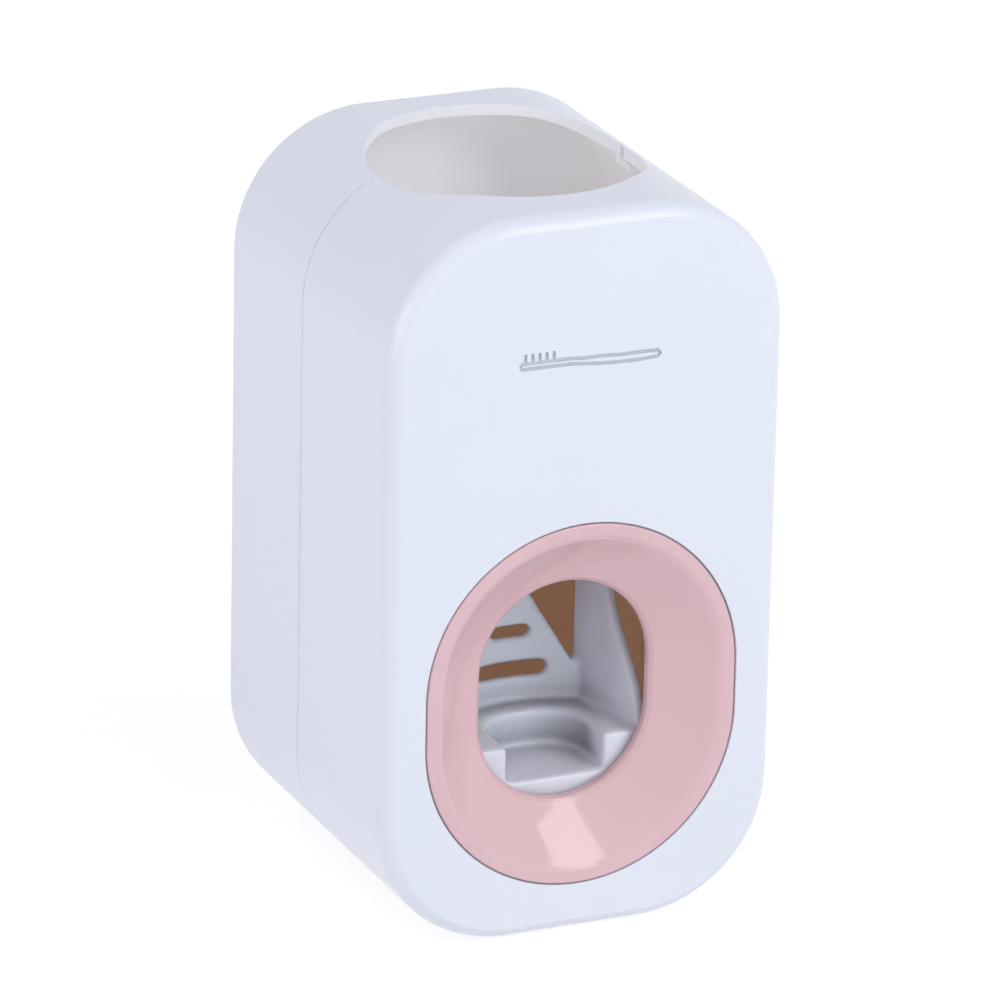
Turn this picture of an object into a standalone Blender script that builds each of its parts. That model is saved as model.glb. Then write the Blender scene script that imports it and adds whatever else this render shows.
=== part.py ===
"""A wall-hung toothpaste squeezer.

A toothbrush pushed in through the ring swings the lever back. The lever's roller squeezes a soft
pump, which drops paste from the tube above on the bristles. A spring brings the lever back.

Everything is modelled in body coordinates: X to the right as seen from the front, Y from the
front face towards the wall, Z up from the bottom. One empty carries it all to the wall.
"""

import math

import bmesh
import bpy
from mathutils import Matrix, Vector

MM = 0.001

# Casing
BODY_WIDTH = 84.0 * MM
BODY_DEPTH = 81.5 * MM
TUBE_ROOM = 38.0 * MM
CORNER_RADIUS = 27.7 * MM
WALL = 2.4 * MM
FRONT_WALL = 2.6 * MM
BACK_WALL = 2.4 * MM
SEAM_DEPTH = 44.5 * MM
LIP_REACH = 3.0 * MM
LIP_WALL = 1.2 * MM
LIP_ROOT = 3.0 * MM
FRONT_EDGE_INSET = 2.6 * MM
FRONT_EDGE_DEPTH = 3.6 * MM
FRONT_EDGE_TURN = math.radians(50)
REAR_EDGE = 1.6 * MM
CLEARANCE = 0.3 * MM
OVERRUN = 1.0 * MM

# Tube opening in the top
BAY_SIDE_MARGIN = 15.5 * MM
BAY_FRONT_MARGIN = 12.6 * MM
BAY_BACK_MARGIN = 9.1 * MM
BAY_CUT_HEIGHT = 10.5 * MM

# Ring in the front wall
RING_CENTRE_HEIGHT = 48.2 * MM
RING_SIDE_MARGIN = 8.9 * MM
RING_HALF_STRAIGHT = 4.7 * MM
RING_LIP_WIDTH = 3.0 * MM
RING_LIP_THICKNESS = 1.1 * MM
RING_LIP_DROP = 0.45 * MM
RING_FUNNEL_WIDTH = 14.9 * MM
RING_FUNNEL_DEPTH = 8.2 * MM
RING_FUNNEL_SAG = 1.1 * MM
RING_HOLE_ROUND = 0.9 * MM
RING_WALL = 2.0 * MM
RING_SKIRT_INSET = 1.9 * MM
RING_SKIRT_DEPTH = 5.0 * MM
RING_CATCH_REACH = 0.7 * MM
RING_CATCH_LENGTH = 1.4 * MM

# Wall mount
WALL_GAP = 1.0 * MM
PLATE_WIDTH = 46.0 * MM
PLATE_HEIGHT = 62.0 * MM
PLATE_THICKNESS = 3.0 * MM
PLATE_TOP_HEIGHT = 76.0 * MM
DOVETAIL_SLANT = 2.0 * MM
PAD_THICKNESS = 0.8 * MM
PAD_MARGIN = 3.0 * MM
PLATE_CORNER = 4.0 * MM
RAIL_SIDE_WALL = 3.0 * MM

# Inner frame
FRAME_INSET = 6.0 * MM
FRAME_WALL = 2.0 * MM
FRAME_DEPTH = 26.0 * MM
FRAME_BACK_GAP = 9.5 * MM
FRAME_WINDOW_WIDTH = 26.0 * MM
FRAME_WINDOW_HEIGHT = 12.0 * MM
FRAME_WINDOW_DROP = 8.0 * MM
FRAME_RIB_HEIGHT = 1.4 * MM
FRAME_RIB_WIDTH = 1.6 * MM
FRAME_SCREW_MARGIN = 13.0 * MM
FRAME_SCREW_LOW = 22.0 * MM
FRAME_SCREW_DROP = 17.0 * MM
CARRIER_SCREW_MARGIN = 11.0 * MM
CARRIER_SCREW_INSET = 5.5 * MM
BOSS_RADIUS = 3.2 * MM
BOSS_DEPTH = 12.0 * MM

# Screws
SCREW_RADIUS = 1.3 * MM
SCREW_HEAD_RADIUS = 2.6 * MM
SCREW_HEAD_HEIGHT = 1.7 * MM
SCREW_LENGTH = 6.5 * MM
SCREW_RECESS_WIDTH = 0.7 * MM
SCREW_RECESS_DEPTH = 0.8 * MM
SCREW_POINT = 0.6 * MM

# Pump, in a line down its own axis
PUMP_DEPTH = 30.0 * MM
BRIDGE_THICKNESS = 3.0 * MM
BRIDGE_FRONT_DEPTH = 15.0 * MM
BRIDGE_CORNER = 8.0 * MM
SPIGOT_RADIUS = 8.2 * MM
SPIGOT_BORE = 6.6 * MM
SPIGOT_SEAT_BORE = 5.0 * MM
SPIGOT_LENGTH = 8.0 * MM
SPIGOT_SEAT = 1.5 * MM
SLEEVE_WALL = 1.5 * MM
SLEEVE_LENGTH = 31.0 * MM
SLEEVE_BULGE = 0.9 * MM
CLAMP_WALL = 1.3 * MM
CLAMP_HEIGHT = 3.6 * MM
GLAND_FLANGE_RADIUS = 13.0 * MM
GLAND_FLANGE = 1.6 * MM
GLAND_CUP_RADIUS = 11.0 * MM
GLAND_CUP_HEIGHT = 8.5 * MM
GLAND_MOUTH_RADIUS = 8.6 * MM
GLAND_BORE = 4.4 * MM
GLAND_NECK_LENGTH = 5.0 * MM
VALVE_FLANGE = 1.3 * MM
VALVE_LENGTH = 7.0 * MM
VALVE_RADIUS = 4.2 * MM
VALVE_WALL = 0.8 * MM
VALVE_LIP = 1.7 * MM
NOZZLE_PLUG_LENGTH = 4.5 * MM
NOZZLE_FLANGE = 1.4 * MM
NOZZLE_SPOUT_RADIUS = 5.4 * MM
NOZZLE_TIP_RADIUS = 3.3 * MM
NOZZLE_SPOUT_LENGTH = 7.0 * MM
NOZZLE_BORE = 2.3 * MM
NOZZLE_SEAT_BORE = 4.6 * MM
ANVIL_WIDTH = 22.0 * MM
ANVIL_THICKNESS = 2.5 * MM
ANVIL_LENGTH = 22.0 * MM

# Lever
PIVOT_DEPTH = 36.0 * MM
PIVOT_DROP = 5.5 * MM
PIVOT_RADIUS = 2.0 * MM
PIVOT_EYE_RADIUS = 5.2 * MM
PIVOT_BOSS = 0.5 * MM
ARM_THICKNESS = 2.5 * MM
ARM_INNER_X = 13.6 * MM
ARM_FLARE = math.radians(13.5)
ARM_REAR_DEPTH = 34.5 * MM
ARM_BACK_DEPTH = 39.0 * MM
ARM_LEAN_HEIGHT = 44.0 * MM
ARM_LEAN_POWER = 1.2
LEVER_FRONT_DEPTH = 11.9 * MM
LEVER_BOTTOM = 22.0 * MM
SHELF_HEIGHT = 36.0 * MM
SHELF_SKIN = 2.2 * MM
SHELF_CORNER = 4.0 * MM
NOTCH_WIDTH = 21.0 * MM
NOTCH_LENGTH = 17.3 * MM
NOTCH_DROP = 7.6 * MM
NOTCH_CORNER = 8.0 * MM
TONGUE_DEPTH = 31.7 * MM
TONGUE_RADIUS = 30.0 * MM
TONGUE_THICKNESS = 2.2 * MM
TONGUE_HALF_WIDTH = 13.9 * MM
TONGUE_APEX_HEIGHT = 65.7 * MM
TONGUE_TIP_RADIUS = 3.0 * MM
TONGUE_SHOULDER_HEIGHT = 42.1 * MM
SLOT_PITCH = 8.25 * MM
SLOT_FIRST_HEIGHT = 42.4 * MM
SLOT_LENGTHS = (14.8 * MM, 6.8 * MM)
SLOT_WIDTHS = (3.0 * MM, 2.3 * MM)
ARM_TALL_FRONT_DEPTH = 25.5 * MM
ARM_WAIST_HEIGHT = 66.0 * MM
WEB_THICKNESS = 2.2 * MM
WEB_DEPTH = 34.9 * MM
WEB_LOW = 64.0 * MM
WEB_HEIGHT = 11.0 * MM
NOZZLE_DIP = 2.7 * MM
ROLLER_RADIUS = 4.0 * MM
ROLLER_DROP = 11.5 * MM
ROLLER_PIN_RADIUS = 1.5 * MM
HORN_RADIUS = 4.2 * MM
ROLLER_PIN_OVERHANG = 0.4 * MM

# Bracket ears and lever stops
EAR_THICKNESS = 3.0 * MM
EAR_GAP = 0.8 * MM
EAR_LEG_LENGTH = 32.0 * MM
EAR_LEG_FRONT = 19.5 * MM
EAR_LEG_WIDTH = 6.0 * MM
STOP_HEIGHT = 4.5 * MM
STOP_THICKNESS = 2.6 * MM
BUMPER_THICKNESS = 2.5 * MM
CLIP_RADIUS = 4.0 * MM
CLIP_THICKNESS = 1.0 * MM

# Return spring
SPRING_RADIUS = 4.2 * MM
SPRING_WIRE = 0.35 * MM
SPRING_TURNS = 9
SPRING_CLOSE_PITCH = 1.5 * MM
SPRING_POST_RADIUS = 3.0 * MM
SPRING_POST_LENGTH = 4.0 * MM

# Smoothness of round shapes
CORNER_STEPS = 10
BAY_STEPS = 14
RING_STEPS = 20
FUNNEL_STEPS = 5
SLEEVE_STEPS = 4
REAR_EDGE_STEPS = 3
ROUND_STEPS = 32
SMALL_STEPS = 16
SCREW_STEPS = 12
SPRING_STEPS = 9
SMOOTH_ANGLE = math.radians(35)

# Heights, worked out from the lever's web upwards
WEB_HIGH = WEB_LOW + WEB_HEIGHT
SPRING_HEIGHT = WEB_LOW + WEB_HEIGHT / 2
NOZZLE_TIP_HEIGHT = WEB_HIGH - NOZZLE_DIP
SLEEVE_BOTTOM = NOZZLE_TIP_HEIGHT + NOZZLE_SPOUT_LENGTH + NOZZLE_FLANGE + CLEARANCE
SLEEVE_TOP = SLEEVE_BOTTOM + SLEEVE_LENGTH
FRAME_TOP_HEIGHT = SLEEVE_TOP
BRIDGE_HEIGHT = FRAME_TOP_HEIGHT + CLEARANCE
BRIDGE_TOP = BRIDGE_HEIGHT + BRIDGE_THICKNESS
SPIGOT_BOTTOM = BRIDGE_HEIGHT - SPIGOT_LENGTH
BODY_HEIGHT = FRAME_TOP_HEIGHT + TUBE_ROOM
PIVOT_HEIGHT = FRAME_TOP_HEIGHT - PIVOT_DROP
ROLLER_HEIGHT = PIVOT_HEIGHT - ROLLER_DROP
EAR_LEG_BOTTOM = FRAME_TOP_HEIGHT - EAR_LEG_LENGTH
FRAME_WINDOW_BOTTOM = FRAME_TOP_HEIGHT - FRAME_WINDOW_DROP - FRAME_WINDOW_HEIGHT
FRAME_SCREW_HIGH = FRAME_TOP_HEIGHT - FRAME_SCREW_DROP

# Widths and depths, worked out from the casing inwards
RING_RADIUS = BODY_WIDTH / 2 - RING_SIDE_MARGIN
RING_HOLE_RADIUS = RING_RADIUS - RING_FUNNEL_WIDTH
FRAME_BACK_DEPTH = BODY_DEPTH - FRAME_BACK_GAP
FRAME_FRONT_DEPTH = FRAME_BACK_DEPTH - FRAME_DEPTH
FRAME_SCREW_X = BODY_WIDTH / 2 - FRAME_SCREW_MARGIN
CARRIER_SCREW_X = BODY_WIDTH / 2 - CARRIER_SCREW_MARGIN
PLATE_BACK_DEPTH = BODY_DEPTH + WALL_GAP - PAD_THICKNESS - CLEARANCE
PLATE_CENTRE_HEIGHT = PLATE_TOP_HEIGHT - PLATE_HEIGHT / 2
RAIL_FLOOR_DEPTH = PLATE_BACK_DEPTH - PLATE_THICKNESS - CLEARANCE
SLEEVE_BORE = SPIGOT_RADIUS + CLEARANCE
SLEEVE_RADIUS = SLEEVE_BORE + SLEEVE_WALL
ARM_OUTER_X = ARM_INNER_X + ARM_THICKNESS
EAR_INNER_X = ARM_OUTER_X + EAR_GAP
EAR_OUTER_X = EAR_INNER_X + EAR_THICKNESS
ROLLER_DEPTH = PUMP_DEPTH - SLEEVE_RADIUS - SLEEVE_BULGE - CLEARANCE - ROLLER_RADIUS
STOP_BACK_DEPTH = ARM_TALL_FRONT_DEPTH - BUMPER_THICKNESS - 2 * CLEARANCE
LEVER_PIVOT = Vector((0, PIVOT_DEPTH, PIVOT_HEIGHT))
TO_WALL = Vector((0, -BODY_DEPTH - WALL_GAP, -PLATE_CENTRE_HEIGHT))


def clear_scene():
    for item in list(bpy.data.objects):
        bpy.data.objects.remove(item, do_unlink=True)


def new_collection(name):
    collection = bpy.data.collections.new(name)
    bpy.context.scene.collection.children.link(collection)
    return collection


def new_material(name, colour, roughness, metallic=0.0):
    material = bpy.data.materials.new(name)
    material.use_nodes = True
    shader = material.node_tree.nodes["Principled BSDF"]
    shader.inputs["Base Color"].default_value = (*colour, 1.0)
    shader.inputs["Roughness"].default_value = roughness
    shader.inputs["Metallic"].default_value = metallic
    return material


def add_object(name, data, collection):
    item = bpy.data.objects.new(name, data)
    item.parent = body_origin
    collection.objects.link(item)
    return item


def mesh_from(bm, name):
    """A closed mesh from a bmesh, with its faces turned outwards."""
    bmesh.ops.recalc_face_normals(bm, faces=bm.faces)
    mesh = bpy.data.meshes.new(name)
    bm.to_mesh(mesh)
    bm.free()
    return mesh


def as_piece(name, mesh, material, pivot=None):
    """A visible piece. With a pivot, its origin lies there and its mesh stays where it is."""
    if pivot is not None:
        mesh.transform(Matrix.Translation(-pivot))
    mesh.shade_smooth()
    mesh.set_sharp_from_angle(angle=SMOOTH_ANGLE)
    mesh.materials.append(material)
    item = add_object(name, mesh, pieces)
    if pivot is not None:
        item.location = pivot
    return item


def as_helper(name, mesh):
    item = add_object(name, mesh, helpers)
    item.hide_render = True
    item.display_type = "WIRE"
    return item


def combine(item, operation, meshes):
    """Live Booleans on an object, one for each helper mesh."""
    for number, mesh in enumerate(meshes, 1):
        name = f"{item.name}_{operation.lower()}_{number}"
        modifier = item.modifiers.new(name, "BOOLEAN")
        modifier.operation = operation
        modifier.object = as_helper(name, mesh)


def cut(item, *meshes):
    combine(item, "DIFFERENCE", meshes)


def add(item, *meshes):
    combine(item, "UNION", meshes)


AXES = {
    "Z": Matrix.Identity(4),
    "Y": Matrix.Rotation(math.pi / 2, 4, "X"),
    "X": Matrix(((0, 0, 1, 0), (1, 0, 0, 0), (0, 1, 0, 0), (0, 0, 0, 1))),
}
ALONG = {"X": Vector((1, 0, 0)), "Y": Vector((0, 1, 0)), "Z": Vector((0, 0, 1))}


def extruded(loops, low, high, axis):
    """Flat outlines drawn across an axis and carried along it; inner loops are holes.

    Across Y a point is (x, z), across Z it is (x, y), and across X it is (y, z).
    """
    curve = bpy.data.curves.new("outline", "CURVE")
    curve.dimensions = "2D"
    curve.fill_mode = "BOTH"
    curve.extrude = (high - low) / 2
    for loop in loops:
        spline = curve.splines.new("POLY")
        spline.points.add(len(loop) - 1)
        spline.use_cyclic_u = True
        for point, (u, v) in zip(spline.points, loop):
            point.co = (u, v, 0, 1)
    item = bpy.data.objects.new("outline", curve)
    pieces.objects.link(item)
    graph = bpy.context.evaluated_depsgraph_get()
    mesh = bpy.data.meshes.new_from_object(item.evaluated_get(graph))
    bpy.data.objects.remove(item, do_unlink=True)
    bm = bmesh.new()
    bm.from_mesh(mesh)
    bmesh.ops.remove_doubles(bm, verts=bm.verts, dist=CLEARANCE / 100)
    middle = Matrix.Translation(ALONG[axis] * (low + high) / 2)
    bm.transform(middle @ AXES[axis])
    return mesh_from(bm, "outline")


def rod(radius, low, high, axis, centre, steps=SMALL_STEPS, end_radius=None):
    """A cylinder or cone along an axis, with its ends at low and high."""
    bm = bmesh.new()
    bmesh.ops.create_cone(
        bm,
        cap_ends=True,
        segments=steps,
        radius1=radius,
        radius2=radius if end_radius is None else end_radius,
        depth=high - low,
    )
    turn = Matrix.Rotation(-math.pi / 2, 4, "X") if axis == "Y" else AXES[axis]
    bm.transform(Matrix.Translation(centre + ALONG[axis] * (low + high) / 2) @ turn)
    return mesh_from(bm, "rod")


def box(low, high):
    """A box between two corners."""
    bm = bmesh.new()
    bmesh.ops.create_cube(bm, size=1)
    size = Vector(high) - Vector(low)
    middle = (Vector(high) + Vector(low)) / 2
    bm.transform(Matrix.Translation(middle) @ Matrix.Diagonal((*size, 1)))
    return mesh_from(bm, "box")


def turned(profile, centre, steps=ROUND_STEPS):
    """A closed profile of (radius, height) points, turned about a vertical line."""
    bm = bmesh.new()
    corners = [bm.verts.new((radius, 0, height)) for radius, height in profile]
    for here, there in zip(corners, corners[1:] + corners[:1]):
        if here.co.x or there.co.x:
            bm.edges.new((here, there))
    bmesh.ops.spin(
        bm,
        geom=bm.verts[:] + bm.edges[:],
        axis=(0, 0, 1),
        cent=(0, 0, 0),
        angle=2 * math.pi,
        steps=steps,
        use_merge=True,
    )
    bmesh.ops.remove_doubles(bm, verts=bm.verts, dist=CLEARANCE / 100)
    bm.transform(Matrix.Translation(centre))
    return mesh_from(bm, "turned")


def loft(sections):
    """Skins closed sections that have equal numbers of points, and caps both ends."""
    bm = bmesh.new()
    rows = [[bm.verts.new(point) for point in section] for section in sections]
    for row, after in zip(rows, rows[1:]):
        for i in range(len(row)):
            j = (i + 1) % len(row)
            bm.faces.new((row[i], row[j], after[j], after[i]))
    bm.faces.new(rows[0])
    bm.faces.new(rows[-1])
    return mesh_from(bm, "loft")


def arc(centre, radius, start, end, steps):
    """Points along an arc, in degrees, both ends included."""
    angles = [math.radians(start + (end - start) * i / steps) for i in range(steps + 1)]
    return [
        (centre[0] + radius * math.cos(a), centre[1] + radius * math.sin(a)) for a in angles
    ]


def rounded_box(left, bottom, right, top, radius, steps=CORNER_STEPS):
    """A rectangle with round corners, anticlockwise from its lower right corner."""
    corners = (
        (right - radius, bottom + radius, -90),
        (right - radius, top - radius, 0),
        (left + radius, top - radius, 90),
        (left + radius, bottom + radius, 180),
    )
    points = []
    for x, y, start in corners:
        points += arc((x, y), radius, start, start + 90, steps)
    return points


def body_outline(inset):
    """The casing's front outline, drawn in by an inset."""
    return rounded_box(
        -BODY_WIDTH / 2 + inset,
        inset,
        BODY_WIDTH / 2 - inset,
        BODY_HEIGHT - inset,
        CORNER_RADIUS - inset,
    )


def body_section(inset, depth):
    return [(x, depth, z) for x, z in body_outline(inset)]


def bay_outline():
    """The tube opening seen from above, with ends as round as its shorter side allows."""
    half = BODY_WIDTH / 2 - BAY_SIDE_MARGIN
    back = BODY_DEPTH - BAY_BACK_MARGIN
    radius = min(half, (back - BAY_FRONT_MARGIN) / 2)
    return rounded_box(-half, BAY_FRONT_MARGIN, half, back, radius, BAY_STEPS)


def bay_cutter():
    bottom = BODY_HEIGHT - BAY_CUT_HEIGHT
    return extruded([bay_outline()], bottom, BODY_HEIGHT + OVERRUN, "Z")


def edge_profile():
    """(inset, depth) along the front edge: a shallow arc that meets both faces at an angle."""
    lean = math.atan2(FRONT_EDGE_DEPTH, FRONT_EDGE_INSET)
    chord = math.hypot(FRONT_EDGE_INSET, FRONT_EDGE_DEPTH)
    bulge = chord / 2 * math.tan(FRONT_EDGE_TURN / 4)
    middle = (
        FRONT_EDGE_INSET / 2 - bulge * math.sin(lean),
        FRONT_EDGE_DEPTH / 2 - bulge * math.cos(lean),
    )
    return [(FRONT_EDGE_INSET, 0), middle, (0, FRONT_EDGE_DEPTH)]


def stadium(radius, half_straight, centre_height, steps=RING_STEPS):
    """Two half circles, above and below each other."""
    top = arc((0, centre_height + half_straight), radius, 0, 180, steps)
    bottom = arc((0, centre_height - half_straight), radius, 180, 360, steps)
    return top + bottom


def ring_hole(radius, low, high):
    return extruded(
        [stadium(radius, RING_HALF_STRAIGHT, RING_CENTRE_HEIGHT)], low, high, "Y"
    )


def make_front_shell():
    outside = [body_section(inset, depth) for inset, depth in edge_profile()]
    outside.append(body_section(0, SEAM_DEPTH - CLEARANCE / 2))
    shell = as_piece("front_shell", loft(outside), WHITE)
    cavity = loft(
        [body_section(WALL, FRONT_WALL), body_section(WALL, SEAM_DEPTH + OVERRUN)]
    )
    seat_depth = RING_LIP_THICKNESS + CLEARANCE
    cut(
        shell,
        cavity,
        bay_cutter(),
        ring_hole(RING_RADIUS + CLEARANCE, -OVERRUN, seat_depth),
        ring_hole(
            RING_RADIUS - RING_SKIRT_INSET + CLEARANCE, -OVERRUN, FRONT_WALL + OVERRUN
        ),
    )


def make_front_ring():
    """Half of the ring is turned about the hole's upper centre, drawn down and mirrored."""
    lip_back = RING_LIP_THICKNESS
    lip_inner = RING_RADIUS - RING_LIP_WIDTH
    skirt = RING_RADIUS - RING_SKIRT_INSET
    catch_front = FRONT_WALL + CLEARANCE
    catch_back = catch_front + RING_CATCH_LENGTH
    funnel = []
    for i in range(FUNNEL_STEPS + 1):
        share = i / FUNNEL_STEPS
        radius = lip_inner + (RING_HOLE_RADIUS + RING_HOLE_ROUND - lip_inner) * share
        depth = RING_LIP_DROP + (RING_FUNNEL_DEPTH - RING_LIP_DROP) * share
        depth += RING_FUNNEL_SAG * math.sin(math.pi * share)
        funnel.append((radius, depth))
    bore_depth = RING_FUNNEL_DEPTH + RING_HOLE_ROUND
    bore_back = bore_depth + RING_WALL
    profile = (
        [(RING_RADIUS, lip_back), (RING_RADIUS, RING_LIP_DROP)]
        + [(RING_RADIUS - RING_LIP_DROP, 0), (lip_inner + RING_LIP_DROP, 0)]
        + funnel
        + [(RING_HOLE_RADIUS, bore_depth), (RING_HOLE_RADIUS, bore_back)]
        + [(RING_HOLE_RADIUS + RING_WALL, bore_back)]
        + [(skirt - RING_WALL, RING_SKIRT_DEPTH), (skirt, RING_SKIRT_DEPTH)]
        + [(skirt, catch_back), (skirt + RING_CATCH_REACH, catch_back)]
        + [(skirt + RING_CATCH_REACH, catch_front), (skirt, catch_front)]
        + [(skirt, lip_back)]
    )
    bm = bmesh.new()
    corners = [bm.verts.new((radius, depth, 0)) for radius, depth in profile]
    edges = [
        bm.edges.new((here, there))
        for here, there in zip(corners, corners[1:] + corners[:1])
    ]
    first = edges[:]
    turn = bmesh.ops.spin(
        bm,
        geom=corners + edges,
        axis=(0, -1, 0),
        cent=(0, 0, 0),
        angle=math.pi,
        steps=RING_STEPS,
    )
    last = [e for e in turn["geom_last"] if isinstance(e, bmesh.types.BMEdge)]
    bmesh.ops.translate(bm, verts=bm.verts, vec=(0, 0, RING_HALF_STRAIGHT))
    for end in (first, last):
        made = bmesh.ops.extrude_edge_only(bm, edges=end)
        verts = [v for v in made["geom"] if isinstance(v, bmesh.types.BMVert)]
        bmesh.ops.translate(bm, verts=verts, vec=(0, 0, -RING_HALF_STRAIGHT))
    half = bm.verts[:] + bm.edges[:] + bm.faces[:]
    bmesh.ops.mirror(
        bm, geom=half, axis="Z", matrix=Matrix.Identity(4), merge_dist=CLEARANCE / 100
    )
    bmesh.ops.remove_doubles(bm, verts=bm.verts, dist=CLEARANCE / 100)
    bm.transform(Matrix.Translation((0, 0, RING_CENTRE_HEIGHT)))
    as_piece("front_ring", mesh_from(bm, "front_ring"), PINK)


def frame_screw_places():
    for x in (-FRAME_SCREW_X, FRAME_SCREW_X):
        for height in (FRAME_SCREW_LOW, FRAME_SCREW_HIGH):
            yield Vector((x, 0, height))


def make_rear_shell():
    lip_inset = WALL + CLEARANCE
    cavity_inset = lip_inset + LIP_WALL
    front = SEAM_DEPTH + CLEARANCE / 2
    sections = [body_section(0, front)]
    for turn in arc((0, 0), REAR_EDGE, 0, 90, REAR_EDGE_STEPS):
        depth = BODY_DEPTH - REAR_EDGE + turn[1]
        sections.append(body_section(REAR_EDGE - turn[0], depth))
    shell = as_piece("rear_shell", loft(sections), WHITE)
    lip = loft(
        [
            body_section(lip_inset, SEAM_DEPTH - LIP_REACH),
            body_section(lip_inset, front + LIP_ROOT),
        ]
    )
    add(shell, lip)
    rail_front = RAIL_FLOOR_DEPTH - BACK_WALL
    rail_half = PLATE_WIDTH / 2 + CLEARANCE + RAIL_SIDE_WALL
    rail_top = PLATE_TOP_HEIGHT + CLEARANCE + RAIL_SIDE_WALL
    mouth = loft(
        [
            body_section(cavity_inset, SEAM_DEPTH - LIP_REACH - OVERRUN),
            body_section(cavity_inset, front + LIP_ROOT),
        ]
    )
    hollow = loft(
        [body_section(WALL, front + LIP_ROOT), body_section(WALL, BODY_DEPTH - BACK_WALL)]
    )
    cut(shell, mouth, hollow)
    rail = as_helper(
        "rear_shell_rail",
        extruded([body_outline(WALL / 2)], rail_front, BODY_DEPTH - BACK_WALL / 2, "Y"),
    )
    limits = box(
        (-rail_half, rail_front - OVERRUN, -OVERRUN), (rail_half, BODY_DEPTH, rail_top)
    )
    combine(rail, "INTERSECT", [limits])
    modifier = shell.modifiers.new("rail", "BOOLEAN")
    modifier.operation = "UNION"
    modifier.object = rail
    boss_front = FRAME_BACK_DEPTH + CLEARANCE
    bosses = [
        rod(BOSS_RADIUS, boss_front, BODY_DEPTH - BACK_WALL / 2, "Y", place)
        for place in frame_screw_places()
    ]
    add(shell, *bosses)
    pilots = [
        rod(
            SCREW_RADIUS + CLEARANCE,
            boss_front - OVERRUN,
            FRAME_BACK_DEPTH - FRAME_WALL + SCREW_LENGTH + CLEARANCE,
            "Y",
            place,
        )
        for place in frame_screw_places()
    ]
    groove = extruded(
        [dovetail_outline(CLEARANCE)], -OVERRUN, PLATE_TOP_HEIGHT + CLEARANCE, "Z"
    )
    cut(shell, bay_cutter(), groove, *pilots)


def dovetail_outline(gap):
    """The wall plate seen from above, wider away from the wall, grown by a gap."""
    front = PLATE_WIDTH / 2 + gap
    back = front - DOVETAIL_SLANT
    near = PLATE_BACK_DEPTH - PLATE_THICKNESS - gap
    far = PLATE_BACK_DEPTH
    if gap:
        far = BODY_DEPTH + OVERRUN
        back = front - DOVETAIL_SLANT * (far - near) / PLATE_THICKNESS
    return [(-front, near), (front, near), (back, far), (-back, far)]


def make_wall_mount():
    plate_mesh = extruded(
        [dovetail_outline(0)], PLATE_TOP_HEIGHT - PLATE_HEIGHT, PLATE_TOP_HEIGHT, "Z"
    )
    plate = as_piece("wall_plate", plate_mesh, WHITE)
    corners = extruded(
        [
            rounded_box(
                -PLATE_WIDTH / 2,
                PLATE_TOP_HEIGHT - PLATE_HEIGHT,
                PLATE_WIDTH / 2,
                PLATE_TOP_HEIGHT,
                PLATE_CORNER,
                CORNER_STEPS // 2,
            )
        ],
        PLATE_BACK_DEPTH - PLATE_THICKNESS - OVERRUN,
        PLATE_BACK_DEPTH + OVERRUN,
        "Y",
    )
    combine(plate, "INTERSECT", [corners])
    pad_half = PLATE_WIDTH / 2 - DOVETAIL_SLANT - PAD_MARGIN
    pad = extruded(
        [
            rounded_box(
                -pad_half,
                PLATE_TOP_HEIGHT - PLATE_HEIGHT + PAD_MARGIN,
                pad_half,
                PLATE_TOP_HEIGHT - PAD_MARGIN,
                PLATE_CORNER,
                CORNER_STEPS // 2,
            )
        ],
        BODY_DEPTH + WALL_GAP - PAD_THICKNESS,
        BODY_DEPTH + WALL_GAP,
        "Y",
    )
    as_piece("adhesive_pad", pad, FOAM)


def carrier_screw_places():
    for x in (-CARRIER_SCREW_X, CARRIER_SCREW_X):
        for depth in (
            FRAME_FRONT_DEPTH + CARRIER_SCREW_INSET,
            FRAME_BACK_DEPTH - CARRIER_SCREW_INSET,
        ):
            yield Vector((x, depth, 0))


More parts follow.
